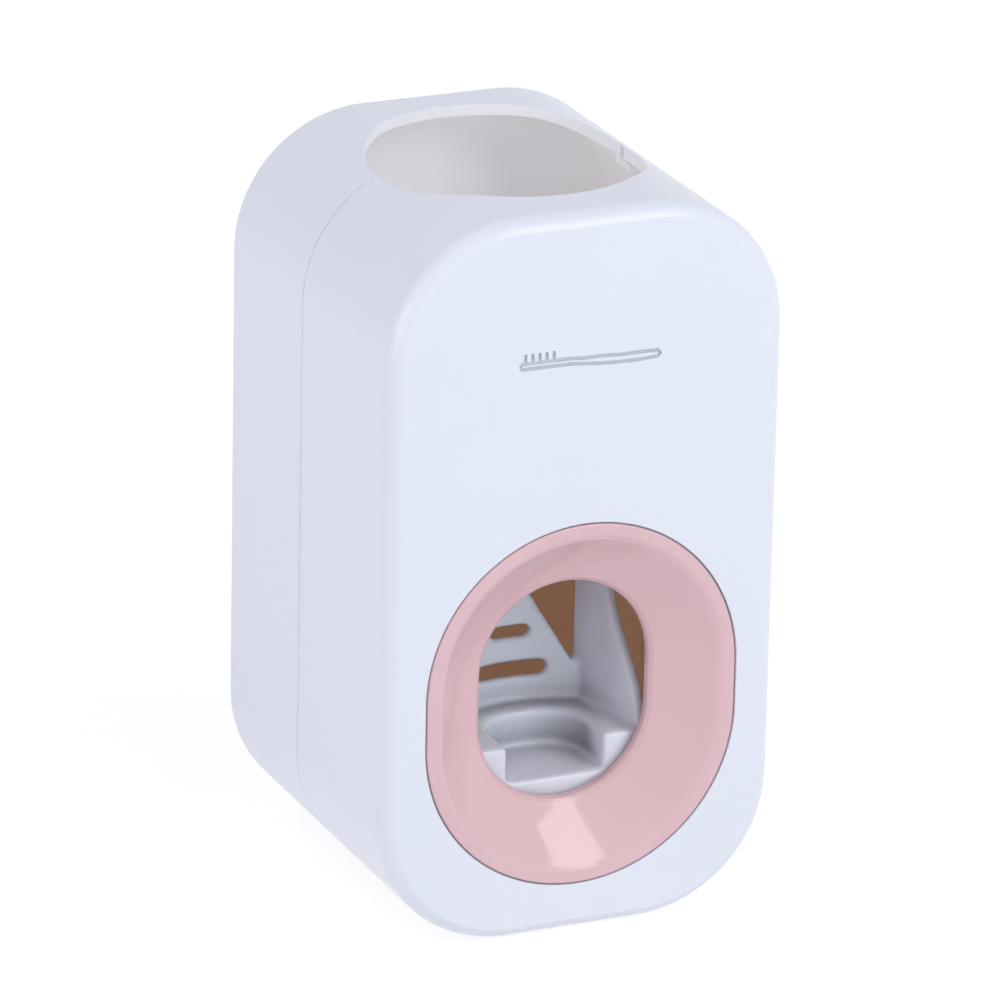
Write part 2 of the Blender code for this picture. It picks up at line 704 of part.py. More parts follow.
def make_frame():
    """An open-fronted tub that follows the casing, cut off level below the pump bracket."""
    tub = loft(
        [body_section(FRAME_INSET, depth) for depth in (FRAME_FRONT_DEPTH, FRAME_BACK_DEPTH)]
    )
    frame = as_piece("mechanism_chassis", tub, BROWN)
    back = FRAME_BACK_DEPTH - FRAME_WALL
    inside = FRAME_INSET + FRAME_WALL
    cut(
        frame,
        loft([body_section(inside, FRAME_FRONT_DEPTH - OVERRUN), body_section(inside, back)]),
    )
    bosses = [
        rod(BOSS_RADIUS, FRAME_TOP_HEIGHT - BOSS_DEPTH, FRAME_TOP_HEIGHT + OVERRUN, "Z", place)
        for place in carrier_screw_places()
    ]
    post = Vector((0, 0, SPRING_HEIGHT))
    spring_post = rod(SPRING_POST_RADIUS, back - SPRING_POST_LENGTH, back + OVERRUN, "Y", post)
    rib_half = BODY_WIDTH / 2 - inside - FRAME_RIB_WIDTH
    ribs = [
        box(
            (-rib_half, back - FRAME_RIB_HEIGHT, height),
            (rib_half, back + FRAME_WALL / 2, height + FRAME_RIB_WIDTH),
        )
        for height in (
            FRAME_WINDOW_BOTTOM - 2 * FRAME_RIB_WIDTH,
            FRAME_WINDOW_BOTTOM + FRAME_WINDOW_HEIGHT + FRAME_RIB_WIDTH,
        )
    ]
    add(frame, spring_post, *bosses, *ribs)
    pilots = [
        rod(
            SCREW_RADIUS + CLEARANCE,
            BRIDGE_TOP - SCREW_LENGTH - CLEARANCE,
            FRAME_TOP_HEIGHT + OVERRUN,
            "Z",
            place,
        )
        for place in carrier_screw_places()
    ]
    holes = [
        rod(SCREW_RADIUS + CLEARANCE, back - OVERRUN, FRAME_BACK_DEPTH + OVERRUN, "Y", place)
        for place in frame_screw_places()
    ]
    above = box(
        (-BODY_WIDTH, 0, FRAME_TOP_HEIGHT),
        (BODY_WIDTH, BODY_DEPTH, BODY_HEIGHT),
    )
    window = extruded(
        [
            rounded_box(
                -FRAME_WINDOW_WIDTH / 2,
                FRAME_WINDOW_BOTTOM,
                FRAME_WINDOW_WIDTH / 2,
                FRAME_WINDOW_BOTTOM + FRAME_WINDOW_HEIGHT,
                FRAME_WINDOW_HEIGHT / 4,
                CORNER_STEPS // 2,
            )
        ],
        back - OVERRUN,
        FRAME_BACK_DEPTH + OVERRUN,
        "Y",
    )
    cut(frame, above, window, *pilots, *holes)


def screw_profile():
    """A pan-head screw, its head's seat at zero and its shank up along Z."""
    head = SCREW_HEAD_HEIGHT
    return [
        (0, SCREW_LENGTH),
        (SCREW_RADIUS - SCREW_POINT, SCREW_LENGTH),
        (SCREW_RADIUS, SCREW_LENGTH - SCREW_POINT),
        (SCREW_RADIUS, 0),
        (SCREW_HEAD_RADIUS, 0),
        (SCREW_HEAD_RADIUS, -head / 2),
        (SCREW_HEAD_RADIUS * math.sin(math.pi / 3), -head),
        (0, -head),
    ]


def make_screw(name, place, direction):
    """A turned screw with a cross recess, its shank along the direction."""
    bm = bmesh.new()
    bm.from_mesh(turned(screw_profile(), Vector((0, 0, 0)), SCREW_STEPS))
    turn = Vector((0, 0, 1)).rotation_difference(direction).to_matrix().to_4x4()
    bm.transform(turn)
    screw = as_piece(name, mesh_from(bm, name), STEEL)
    screw.location = place
    long = SCREW_HEAD_RADIUS * math.sin(math.pi / 4)
    wide = SCREW_RECESS_WIDTH / 2
    bottom = -SCREW_HEAD_HEIGHT - OVERRUN
    top = -SCREW_HEAD_HEIGHT + SCREW_RECESS_DEPTH
    bars = (
        box((-long, -wide, bottom), (long, wide, top)),
        box((-wide, -long, bottom), (wide, long, top)),
    )
    for bar in bars:
        bar.transform(Matrix.Translation(place) @ turn)
    cut(screw, *bars)


def make_screws():
    for number, place in enumerate(frame_screw_places(), 1):
        seat = FRAME_BACK_DEPTH - FRAME_WALL - CLEARANCE
        at = Vector((place.x, seat, place.z))
        make_screw(f"chassis_screw_{number}", at, Vector((0, 1, 0)))
    for number, place in enumerate(carrier_screw_places(), 1):
        at = Vector((place.x, place.y, BRIDGE_TOP + CLEARANCE))
        make_screw(f"carrier_screw_{number}", at, Vector((0, 0, -1)))


def pump_axis(height=0.0):
    return Vector((0, PUMP_DEPTH, height))


def ear_outline():
    """One ear of the bracket seen from the side: (depth, height) round the pivot and down a leg."""
    eye = PIVOT_EYE_RADIUS
    leg_back = EAR_LEG_FRONT + EAR_LEG_WIDTH
    round_eye = arc((PIVOT_DEPTH, PIVOT_HEIGHT), eye, 0, -110, CORNER_STEPS)
    root = BRIDGE_HEIGHT + BRIDGE_THICKNESS / 2
    return [
        (EAR_LEG_FRONT, root),
        (EAR_LEG_FRONT, EAR_LEG_BOTTOM),
        (leg_back, EAR_LEG_BOTTOM),
        (leg_back, PIVOT_HEIGHT - 2 * eye),
        *reversed(round_eye),
        (PIVOT_DEPTH + eye, root),
    ]


def make_carrier():
    half = BODY_WIDTH / 2 - FRAME_INSET
    plate = extruded(
        [
            rounded_box(
                -half, BRIDGE_FRONT_DEPTH, half, FRAME_BACK_DEPTH, BRIDGE_CORNER, CORNER_STEPS // 2
            )
        ],
        BRIDGE_HEIGHT,
        BRIDGE_TOP,
        "Z",
    )
    carrier = as_piece("pump_carrier", plate, WHITE)
    root = BRIDGE_HEIGHT + BRIDGE_THICKNESS / 2
    spigot = rod(SPIGOT_RADIUS, SPIGOT_BOTTOM, root, "Z", pump_axis(), ROUND_STEPS)
    anvil_front = PUMP_DEPTH + SLEEVE_RADIUS + CLAMP_WALL + 2 * CLEARANCE
    anvil = box(
        (-ANVIL_WIDTH / 2, anvil_front, BRIDGE_HEIGHT - ANVIL_LENGTH),
        (ANVIL_WIDTH / 2, anvil_front + ANVIL_THICKNESS, root),
    )
    ears = []
    stops = []
    pivots = []
    for side in (-1, 1):
        near, far = sorted((side * EAR_INNER_X, side * EAR_OUTER_X))
        ears.append(extruded([ear_outline()], near, far, "X"))
        near, far = sorted((side * ARM_INNER_X, side * EAR_OUTER_X))
        stops.append(
            box(
                (near, STOP_BACK_DEPTH - STOP_THICKNESS, EAR_LEG_BOTTOM),
                (far, STOP_BACK_DEPTH, EAR_LEG_BOTTOM + STOP_HEIGHT),
            )
        )
        near, far = sorted((side * ARM_INNER_X, side * (EAR_OUTER_X + OVERRUN)))
        pivots.append(rod(PIVOT_RADIUS + CLEARANCE, near, far, "X", LEVER_PIVOT))
    add(carrier, spigot, anvil, *ears, *stops)
    bore = rod(
        SPIGOT_BORE, SPIGOT_BOTTOM + SPIGOT_SEAT, BRIDGE_TOP + OVERRUN, "Z", pump_axis(), ROUND_STEPS
    )
    seat = rod(
        SPIGOT_SEAT_BORE, SPIGOT_BOTTOM - OVERRUN, BRIDGE_TOP, "Z", pump_axis(), ROUND_STEPS
    )
    holes = [
        rod(SCREW_RADIUS + CLEARANCE, BRIDGE_HEIGHT - OVERRUN, BRIDGE_TOP + OVERRUN, "Z", place)
        for place in carrier_screw_places()
    ]
    cut(carrier, bore, seat, *pivots, *holes)


def make_gland():
    """The soft socket on the bracket: a cup for the tube's shoulder over a neck in the spigot."""
    low = BRIDGE_TOP + CLEARANCE
    flange_top = low + GLAND_FLANGE
    cup_top = low + GLAND_CUP_HEIGHT
    neck = SPIGOT_BORE - CLEARANCE
    profile = [
        (neck, low - GLAND_NECK_LENGTH),
        (neck, low),
        (GLAND_FLANGE_RADIUS, low),
        (GLAND_FLANGE_RADIUS, flange_top),
        (GLAND_CUP_RADIUS, flange_top),
        (GLAND_MOUTH_RADIUS + GLAND_FLANGE, cup_top),
        (GLAND_MOUTH_RADIUS, cup_top),
        (GLAND_BORE + GLAND_FLANGE, flange_top),
        (GLAND_BORE, low),
        (GLAND_BORE, low - GLAND_NECK_LENGTH),
    ]
    as_piece("tube_gland", turned(profile, pump_axis()), GREY_RUBBER)


def duckbill(radius, flange_radius, top):
    """A soft one-way lip: a flanged cup whose lower end is drawn to a flat slit."""
    steps = SMALL_STEPS
    angles = [2 * math.pi * i / steps for i in range(steps)]

    def ring(wide, thick, height):
        return [
            (wide * math.cos(a), PUMP_DEPTH + thick * math.sin(a), height) for a in angles
        ]

    flange = top - VALVE_FLANGE
    tip = top - VALVE_LENGTH
    inner = radius - VALVE_WALL
    lip_inner = VALVE_LIP - VALVE_WALL
    outside = [
        ring(flange_radius, flange_radius, top),
        ring(flange_radius, flange_radius, flange),
        ring(radius, radius, flange - CLEARANCE / 10),
        ring(radius, VALVE_LIP, tip),
    ]
    passage = [
        ring(inner, inner, top + OVERRUN),
        ring(inner, inner, flange),
        ring(inner, lip_inner, tip - OVERRUN),
    ]
    return loft(outside), loft(passage)


def make_valves():
    seat = SPIGOT_BOTTOM + SPIGOT_SEAT + CLEARANCE
    outer, passage = duckbill(VALVE_RADIUS, SPIGOT_BORE - CLEARANCE, seat + VALVE_FLANGE)
    valve = as_piece("inlet_valve", outer, GREY_RUBBER)
    cut(valve, passage)


def make_sleeve():
    """The squeezed tube: straight where it is held, with a soft bulge between."""
    low = SLEEVE_BOTTOM + NOZZLE_PLUG_LENGTH
    outside = []
    inside = []
    for i in range(SLEEVE_STEPS + 1):
        share = i / SLEEVE_STEPS
        height = low + (SPIGOT_BOTTOM - low) * share
        swell = SLEEVE_BULGE * math.sin(math.pi * share)
        outside.append((SLEEVE_RADIUS + swell, height))
        inside.append((SLEEVE_BORE + swell, height))
    profile = (
        [(SLEEVE_RADIUS, SLEEVE_BOTTOM)]
        + outside
        + [(SLEEVE_RADIUS, SLEEVE_TOP), (SLEEVE_BORE, SLEEVE_TOP)]
        + inside[::-1]
        + [(SLEEVE_BORE, SLEEVE_BOTTOM)]
    )
    as_piece("pump_sleeve", turned(profile, pump_axis()), CLEAR_RUBBER)


def band(name, inner, low, high, material):
    outer = inner + CLAMP_WALL
    edge = CLAMP_WALL / 3
    profile = [
        (inner, low),
        (outer - edge, low),
        (outer, low + edge),
        (outer, high - edge),
        (outer - edge, high),
        (inner, high),
    ]
    as_piece(name, turned(profile, pump_axis()), material)


def make_nozzle():
    """Plug, flange and tapering spout, with a seat for the slit valve in the spout."""
    plug = SLEEVE_BORE - CLEARANCE
    flange_top = SLEEVE_BOTTOM - CLEARANCE
    flange_low = flange_top - NOZZLE_FLANGE
    tip = flange_low - NOZZLE_SPOUT_LENGTH
    throat = tip + NOZZLE_SPOUT_LENGTH / 4
    profile = [
        (NOZZLE_BORE, tip),
        (NOZZLE_TIP_RADIUS, tip),
        (NOZZLE_SPOUT_RADIUS, flange_low),
        (SLEEVE_RADIUS, flange_low),
        (SLEEVE_RADIUS, flange_top),
        (plug, flange_top),
        (plug, flange_top + NOZZLE_PLUG_LENGTH),
        (NOZZLE_SEAT_BORE + VALVE_WALL, flange_top + NOZZLE_PLUG_LENGTH),
        (NOZZLE_SEAT_BORE + VALVE_WALL, flange_top),
        (NOZZLE_BORE, throat),
    ]
    as_piece("outlet_nozzle", turned(profile, pump_axis()), WHITE)
    top = flange_top + NOZZLE_PLUG_LENGTH
    profile = [
        (NOZZLE_BORE, top),
        (NOZZLE_SEAT_BORE, top),
        (NOZZLE_SEAT_BORE, flange_top + CLEARANCE),
        (NOZZLE_BORE + VALVE_WALL, flange_top + CLEARANCE - VALVE_WALL),
        (VALVE_WALL, throat + NOZZLE_FLANGE),
        (VALVE_WALL / 2, throat + NOZZLE_FLANGE),
        (NOZZLE_BORE, flange_top + CLEARANCE),
    ]
    as_piece("outlet_valve", turned(profile, pump_axis()), GREY_RUBBER)


def make_pump():
    make_valves()
    make_sleeve()
    inner = SLEEVE_RADIUS + CLEARANCE
    low = SLEEVE_TOP - CLEARANCE - CLAMP_HEIGHT
    band("sleeve_clamp", inner, low, low + CLAMP_HEIGHT, STEEL)
    low = SLEEVE_BOTTOM + CLEARANCE
    band("nozzle_band", inner, low, low + CLAMP_HEIGHT, STEEL)
    make_nozzle()


def lower_arm_outline():
    """The lower arm seen from the side, in (depth, height): its front edge leans back."""
    steps = 8
    lean = []
    for i in range(steps + 1):
        share = i / steps
        back = (ARM_TALL_FRONT_DEPTH - LEVER_FRONT_DEPTH) * share**ARM_LEAN_POWER
        up = (ARM_WAIST_HEIGHT - ARM_LEAN_HEIGHT) * share
        lean.append((LEVER_FRONT_DEPTH + back, ARM_LEAN_HEIGHT + up))
    top = ARM_WAIST_HEIGHT + ARM_THICKNESS
    return [
        (LEVER_FRONT_DEPTH, LEVER_BOTTOM),
        (ARM_REAR_DEPTH, LEVER_BOTTOM),
        (ARM_REAR_DEPTH, top),
        (ARM_TALL_FRONT_DEPTH, top),
        *reversed(lean),
    ]


def upper_arm_outline():
    """The upper arm from the side: from the waist to the pivot eye, with the roller's horn."""
    low = ARM_WAIST_HEIGHT - ARM_THICKNESS
    eye = arc((PIVOT_DEPTH, PIVOT_HEIGHT), PIVOT_EYE_RADIUS, -10, 130, CORNER_STEPS)
    horn = arc((ROLLER_DEPTH, ROLLER_HEIGHT), HORN_RADIUS, 70, 270, CORNER_STEPS)
    return [
        (ARM_TALL_FRONT_DEPTH, low),
        (ARM_REAR_DEPTH, low),
        (ARM_BACK_DEPTH, WEB_LOW),
        (ARM_BACK_DEPTH, WEB_HIGH),
        *eye,
        *horn,
        (ARM_TALL_FRONT_DEPTH, ROLLER_HEIGHT - HORN_RADIUS - ARM_THICKNESS),
    ]


def flared(x, depth):
    """How far out a point on a lower arm lies, for its depth."""
    return x + (TONGUE_DEPTH - depth) * math.tan(ARM_FLARE)


def lower_arm(side):
    bm = bmesh.new()
    inner = TONGUE_HALF_WIDTH
    bm.from_mesh(extruded([lower_arm_outline()], inner, inner + ARM_THICKNESS, "X"))
    for vert in bm.verts:
        vert.co.x = side * flared(vert.co.x, vert.co.y)
    return mesh_from(bm, "lower_arm")


def shelf_plan(inset):
    """The shelf from above: narrower at the back, with round front corners."""
    front = LEVER_FRONT_DEPTH + inset
    back = TONGUE_DEPTH + TONGUE_RADIUS - tongue_rise() + TONGUE_THICKNESS - inset
    outer = TONGUE_HALF_WIDTH + ARM_THICKNESS - inset
    radius = SHELF_CORNER - inset
    wide = flared(outer, front)
    corner = arc((wide - radius, front + radius), radius, -90, 0, CORNER_STEPS // 2)
    right = [*corner, (flared(outer, back), back)]
    left = [(-x, y) for x, y in reversed(right)]
    return right + left


def tongue_rise():
    """How far the tongue's curve lies from its centre line, at its edges."""
    return math.sqrt(TONGUE_RADIUS**2 - TONGUE_HALF_WIDTH**2)


def tongue_plan():
    """The tongue's wall from above: an arc that is deepest in the middle."""
    centre = (0, TONGUE_DEPTH - tongue_rise())
    half = math.degrees(math.asin((TONGUE_HALF_WIDTH + ARM_THICKNESS / 2) / TONGUE_RADIUS))
    thick = TONGUE_RADIUS + TONGUE_THICKNESS
    front = arc(centre, TONGUE_RADIUS, 90 - half, 90 + half, CORNER_STEPS)
    back = arc(centre, thick, 90 + half, 90 - half, CORNER_STEPS)
    return front + back


def tongue_front():
    """The tongue from the front: straight to its shoulders, then tapering to a round tip."""
    wide = TONGUE_HALF_WIDTH + ARM_THICKNESS
    taper = math.atan2(TONGUE_HALF_WIDTH, TONGUE_APEX_HEIGHT - TONGUE_SHOULDER_HEIGHT)
    centre = TONGUE_APEX_HEIGHT - TONGUE_TIP_RADIUS / math.sin(taper)
    lean = math.degrees(taper)
    tip = arc((0, centre), TONGUE_TIP_RADIUS, lean, 180 - lean, CORNER_STEPS)
    step = wide - TONGUE_HALF_WIDTH
    shoulder = TONGUE_SHOULDER_HEIGHT - step / math.tan(taper)
    return [
        (wide, LEVER_BOTTOM),
        (wide, shoulder),
        *tip,
        (-wide, shoulder),
        (-wide, LEVER_BOTTOM),
    ]


def slot_loops():
    loops = []
    for number, (length, width) in enumerate(zip(SLOT_LENGTHS, SLOT_WIDTHS)):
        height = SLOT_FIRST_HEIGHT + number * SLOT_PITCH
        half = length / 2
        loops.append(
            rounded_box(
                -half, height - width / 2, half, height + width / 2, width / 2, CORNER_STEPS // 2
            )
        )
    return loops


def notch_plan():
    half = NOTCH_WIDTH / 2
    back = LEVER_FRONT_DEPTH + NOTCH_LENGTH
    front = LEVER_FRONT_DEPTH - OVERRUN
    steps = CORNER_STEPS
    inner = half - NOTCH_CORNER
    right = arc((inner, back - NOTCH_CORNER), NOTCH_CORNER, 0, 90, steps)
    left = arc((-inner, back - NOTCH_CORNER), NOTCH_CORNER, 90, 180, steps)
    return [(half, front), *right, *left, (-half, front)]


def make_lever():
    shelf = extruded([shelf_plan(0)], LEVER_BOTTOM, SHELF_HEIGHT, "Z")
    lever = as_piece("push_lever", shelf, WHITE, LEVER_PIVOT)
    tongue = as_helper(
        "push_lever_tongue",
        extruded([tongue_plan()], SHELF_HEIGHT - OVERRUN, TONGUE_APEX_HEIGHT, "Z"),
    )
    front = extruded([tongue_front(), *slot_loops()], 0, BODY_DEPTH, "Y")
    combine(tongue, "INTERSECT", [front])
    modifier = lever.modifiers.new("tongue", "BOOLEAN")
    modifier.operation = "UNION"
    modifier.object = tongue
    web = box(
        (-ARM_INNER_X - ARM_THICKNESS / 2, WEB_DEPTH, WEB_LOW),
        (ARM_INNER_X + ARM_THICKNESS / 2, WEB_DEPTH + WEB_THICKNESS, WEB_HIGH),
    )
    web_back = WEB_DEPTH + WEB_THICKNESS
    post = rod(
        SPRING_POST_RADIUS,
        WEB_DEPTH + WEB_THICKNESS / 2,
        web_back + SPRING_POST_LENGTH,
        "Y",
        Vector((0, 0, SPRING_HEIGHT)),
    )
    arms = [lower_arm(side) for side in (1, -1)]
    for low in (ARM_INNER_X, -ARM_OUTER_X):
        arms.append(extruded([upper_arm_outline()], low, low + ARM_THICKNESS, "X"))
    bosses = []
    for side in (1, -1):
        ends = sorted((side * ARM_INNER_X, side * (ARM_OUTER_X + PIVOT_BOSS)))
        bosses.append(
            rod(PIVOT_EYE_RADIUS - PIVOT_BOSS, *ends, "X", LEVER_PIVOT)
        )
    add(lever, *arms, web, post, *bosses)
    pocket_top = SHELF_HEIGHT - NOTCH_DROP - SHELF_SKIN
    pocket = extruded([shelf_plan(SHELF_SKIN)], LEVER_BOTTOM - OVERRUN, pocket_top, "Z")
    notch = extruded([notch_plan()], SHELF_HEIGHT - NOTCH_DROP, SHELF_HEIGHT + OVERRUN, "Z")
    far = BODY_WIDTH / 2
    pivot = rod(PIVOT_RADIUS + CLEARANCE, -far, far, "X", LEVER_PIVOT)
    roller = Vector((0, ROLLER_DEPTH, ROLLER_HEIGHT))
    pin = rod(ROLLER_PIN_RADIUS + CLEARANCE, -far, far, "X", roller)
    cut(lever, pocket, notch, pivot, pin)


def across(profile, centre):
    """A (radius, x) profile turned about a line across the body."""
    bm = bmesh.new()
    bm.from_mesh(turned(profile, Vector((0, 0, 0)), SMALL_STEPS))
    bm.transform(Matrix.Translation(centre) @ AXES["X"])
    return mesh_from(bm, "across")


def make_pivots():
    """A headed stub pin through each ear and arm, with a push-on clip at its inner end."""
    head = EAR_OUTER_X + CLEARANCE
    edge = CLIP_THICKNESS / 3
    clip_outer = ARM_INNER_X - CLEARANCE
    clip_inner = clip_outer - CLIP_THICKNESS
    end = clip_inner - CLIP_THICKNESS / 2
    bore = PIVOT_RADIUS + CLEARANCE
    pin_head = CLIP_RADIUS - CLEARANCE
    for side, label in ((-1, "left"), (1, "right")):
        profile = [
            (0, end),
            (PIVOT_RADIUS - edge, end),
            (PIVOT_RADIUS, end + edge),
            (PIVOT_RADIUS, head),
            (pin_head, head),
            (pin_head, head + CLIP_THICKNESS - edge),
            (pin_head - edge, head + CLIP_THICKNESS),
            (0, head + CLIP_THICKNESS),
        ]
        pin = [(radius, side * x) for radius, x in profile]
        as_piece(f"pivot_pin_{label}", across(pin, LEVER_PIVOT), STEEL)
        profile = [
            (bore, clip_outer),
            (CLIP_RADIUS, clip_outer),
            (CLIP_RADIUS, clip_inner + edge),
            (CLIP_RADIUS - edge, clip_inner),
            (bore, clip_inner),
        ]
        clip = [(radius, side * x) for radius, x in profile]
        as_piece(f"pin_clip_{label}", across(clip, LEVER_PIVOT), STEEL)


def make_roller():
    roller = Vector((0, ROLLER_DEPTH, ROLLER_HEIGHT))
    half = ARM_OUTER_X + ROLLER_PIN_OVERHANG
    edge = ROLLER_PIN_RADIUS / 4
    profile = [
        (0, -half),
        (ROLLER_PIN_RADIUS - edge, -half),
        (ROLLER_PIN_RADIUS, edge - half),
        (ROLLER_PIN_RADIUS, half - edge),
        (ROLLER_PIN_RADIUS - edge, half),
        (0, half),
    ]
    as_piece("roller_pin", across(profile, roller), STEEL, LEVER_PIVOT)
    end = ARM_INNER_X - CLEARANCE
    bore = ROLLER_PIN_RADIUS + CLEARANCE
    edge = ROLLER_RADIUS / 6
    profile = [
        (bore, -end),
        (ROLLER_RADIUS - edge, -end),
        (ROLLER_RADIUS, edge - end),
        (ROLLER_RADIUS, end - edge),
        (ROLLER_RADIUS - edge, end),
        (bore, end),
    ]
    as_piece("presser_roller", across(profile, roller), GREY_PLASTIC, roller)


def make_bumpers():
    """Soft pads on the bracket's stops, in the way of the arms' front edges."""
    low = EAR_LEG_BOTTOM + CLEARANCE
    high = EAR_LEG_BOTTOM + STOP_HEIGHT - CLEARANCE
    front = STOP_BACK_DEPTH + CLEARANCE
    for side, name in ((-1, "lever_bumper_left"), (1, "lever_bumper_right")):
        ends = sorted((side * ARM_INNER_X, side * ARM_OUTER_X))
        bm = bmesh.new()
        bm.from_mesh(box((ends[0], front, low), (ends[1], front + BUMPER_THICKNESS, high)))
        bmesh.ops.bevel(
            bm,
            geom=bm.edges[:],
            offset=BUMPER_THICKNESS / 5,
            segments=1,
            profile=0.5,
            affect="EDGES",
            material=-1,
        )
        as_piece(name, mesh_from(bm, name), GREY_RUBBER)


def spring_points():
    """The coil's centre line, with one close turn at each end."""
    start = WEB_DEPTH + WEB_THICKNESS + CLEARANCE + SPRING_WIRE
    end = FRAME_BACK_DEPTH - FRAME_WALL - CLEARANCE - SPRING_WIRE
    count = SPRING_TURNS * SPRING_STEPS
    close = SPRING_CLOSE_PITCH
    open_pitch = (end - start - 2 * close) / (SPRING_TURNS - 2)
    points = []
    depth = start
    for i in range(count + 1):
        turn = i / SPRING_STEPS
        angle = 2 * math.pi * turn
        points.append(
            Vector(
                (
                    SPRING_RADIUS * math.cos(angle),
                    depth,
                    SPRING_HEIGHT + SPRING_RADIUS * math.sin(angle),
                )
            )
        )
        at_end = turn < 1 or turn >= SPRING_TURNS - 1
        depth += (close if at_end else open_pitch) / SPRING_STEPS
    return points


def least_gap(points, radius, skip):
    """The smallest space between parts of a tube that aren't next to each other."""
    least = min(
        (points[i] - points[j]).length
        for i in range(len(points))
        for j in range(i + skip, len(points))
    )
    return least - 2 * radius


def make_spring():
    points = spring_points()
    curve = bpy.data.curves.new("return_spring", "CURVE")
    curve.dimensions = "3D"
    curve.bevel_depth = SPRING_WIRE
    curve.bevel_resolution = 1
    curve.use_fill_caps = True
    spline = curve.splines.new("POLY")
    spline.points.add(len(points) - 1)
    for point, place in zip(spline.points, points):
        point.co = (*place, 1)
    curve.materials.append(STEEL)
    add_object("return_spring", curve, pieces)
    gap = least_gap(points, SPRING_WIRE, SPRING_STEPS // 2)
    print(f"return_spring: least gap between turns {gap / MM:.2f} mm")


clear_scene()
pieces = new_collection("toothpaste_squeezer")
helpers = new_collection("cutters")
body_origin = bpy.data.objects.new("body_origin", None)
body_origin.location = TO_WALL
pieces.objects.link(body_origin)

WHITE = new_material("white_abs", (0.79, 0.82, 0.90), 0.25)
PINK = new_material("pink_abs", (0.68, 0.39, 0.41), 0.15)
BROWN = new_material("brown_abs", (0.19, 0.105, 0.067), 0.5)
GREY_PLASTIC = new_material("grey_acetal", (0.55, 0.56, 0.58), 0.4)
GREY_RUBBER = new_material("grey_silicone", (0.45, 0.46, 0.48), 0.6)
CLEAR_RUBBER = new_material("milky_silicone", (0.75, 0.77, 0.78), 0.4)
STEEL = new_material("steel", (0.60, 0.61, 0.62), 0.3, 1.0)
FOAM = new_material("grey_foam", (0.30, 0.31, 0.32), 0.9)

make_wall_mount()
make_rear_shell()
make_frame()
make_screws()
make_carrier()
make_gland()
make_pump()
make_spring()
make_pivots()
make_roller()
make_bumpers()
make_lever()
make_front_shell()
make_front_ring()
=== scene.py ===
# %% [markdown]
# # A wall-hung toothpaste squeezer
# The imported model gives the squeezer's real sizes and moving bodies. This lesson dresses it: each
# cell makes one piece or one finish of the real product and says why it is made that way.

# %% Load the frame
from math import asin, atan2, copysign, cos, degrees, hypot, pi, radians, sin, sqrt, tan

import bmesh
import bpy
from mathutils import Matrix, Vector


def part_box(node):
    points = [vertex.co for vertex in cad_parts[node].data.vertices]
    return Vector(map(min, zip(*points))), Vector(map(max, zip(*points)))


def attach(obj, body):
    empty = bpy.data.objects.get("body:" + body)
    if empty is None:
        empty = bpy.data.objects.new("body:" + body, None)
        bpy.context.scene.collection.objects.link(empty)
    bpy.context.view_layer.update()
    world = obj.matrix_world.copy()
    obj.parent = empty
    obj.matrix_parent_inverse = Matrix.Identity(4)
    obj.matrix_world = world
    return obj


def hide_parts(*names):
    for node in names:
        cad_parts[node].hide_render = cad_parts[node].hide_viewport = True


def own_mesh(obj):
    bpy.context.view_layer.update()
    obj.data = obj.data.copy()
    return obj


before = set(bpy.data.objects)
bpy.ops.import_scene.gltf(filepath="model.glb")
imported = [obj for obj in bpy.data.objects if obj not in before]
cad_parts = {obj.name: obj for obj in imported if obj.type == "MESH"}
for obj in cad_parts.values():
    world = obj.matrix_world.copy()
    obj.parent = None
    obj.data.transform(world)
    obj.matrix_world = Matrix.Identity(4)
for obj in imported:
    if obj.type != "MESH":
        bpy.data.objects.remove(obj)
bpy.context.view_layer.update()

MM = 0.001
NEAR = 0.01 * MM
MERGE = 0.001 * MM

# %% [markdown]
# The casing is drawn from its own lower front edge: X to the right, Y from the front face towards
# the wall, Z up. One vector then carries every finished mesh to its place on the wall, so that each
# object sits at the origin with its place in its mesh.

# %% The casing's sizes, read from the frame
front_low, front_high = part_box("front_shell")
rear_low, rear_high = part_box("rear_shell")
CORNER = Vector((0, front_low.y, front_low.z))
WIDTH = front_high.x - front_low.x
HEIGHT = front_high.z - front_low.z
DEPTH = rear_high.y - front_low.y
SEAM_GAP = 0.3 * MM
SEAM = front_high.y - front_low.y + SEAM_GAP / 2
ROUND = 27.7 * MM
WALL = 2.4 * MM
print(f"casing {WIDTH / MM:.1f} x {DEPTH / MM:.1f} x {HEIGHT / MM:.1f} mm, seam at {SEAM / MM:.2f}")

# %% [markdown]
# Colours are written as the sRGB hex values that a colour picker shows, and one function turns them
# to the linear values that a shader works in.


# %% Colours
def colour(code):
    """An sRGB hex value as linear red, green, blue and alpha."""
    parts = [int(code[i : i + 2], 16) / 255 for i in (0, 2, 4)]
    linear = [c / 12.92 if c <= 0.04045 else ((c + 0.055) / 1.055) ** 2.4 for c in parts]
    return (*linear, 1.0)


# %% [markdown]
# Every finish is a Principled shader with a few pattern nodes before it. One small function adds a
# node, sets its values and links what feeds it. Two more feed an input of the shader and put a new
# object in the scene.


# %% Helpers that add nodes and objects
def add_node(material, kind, settings=(), **inputs):
    """Adds a node; an input is a value, or the output socket that feeds it."""
    tree = material.node_tree
    node = tree.nodes.new(kind)
    for name, value in dict(settings).items():
        setattr(node, name, value)
    for name, value in inputs.items():
        socket = node.inputs[int(name[1:]) if name[1:].isdigit() else name.replace("_", " ")]
        if isinstance(value, bpy.types.NodeSocket):
            tree.links.new(value, socket)
        else:
            socket.default_value = value
    return node


def feed(material, name, output):
    """Lets an output feed an input of a material's Principled shader."""
    surface = material.node_tree.nodes["Principled BSDF"]
    material.node_tree.links.new(output, surface.inputs[name])


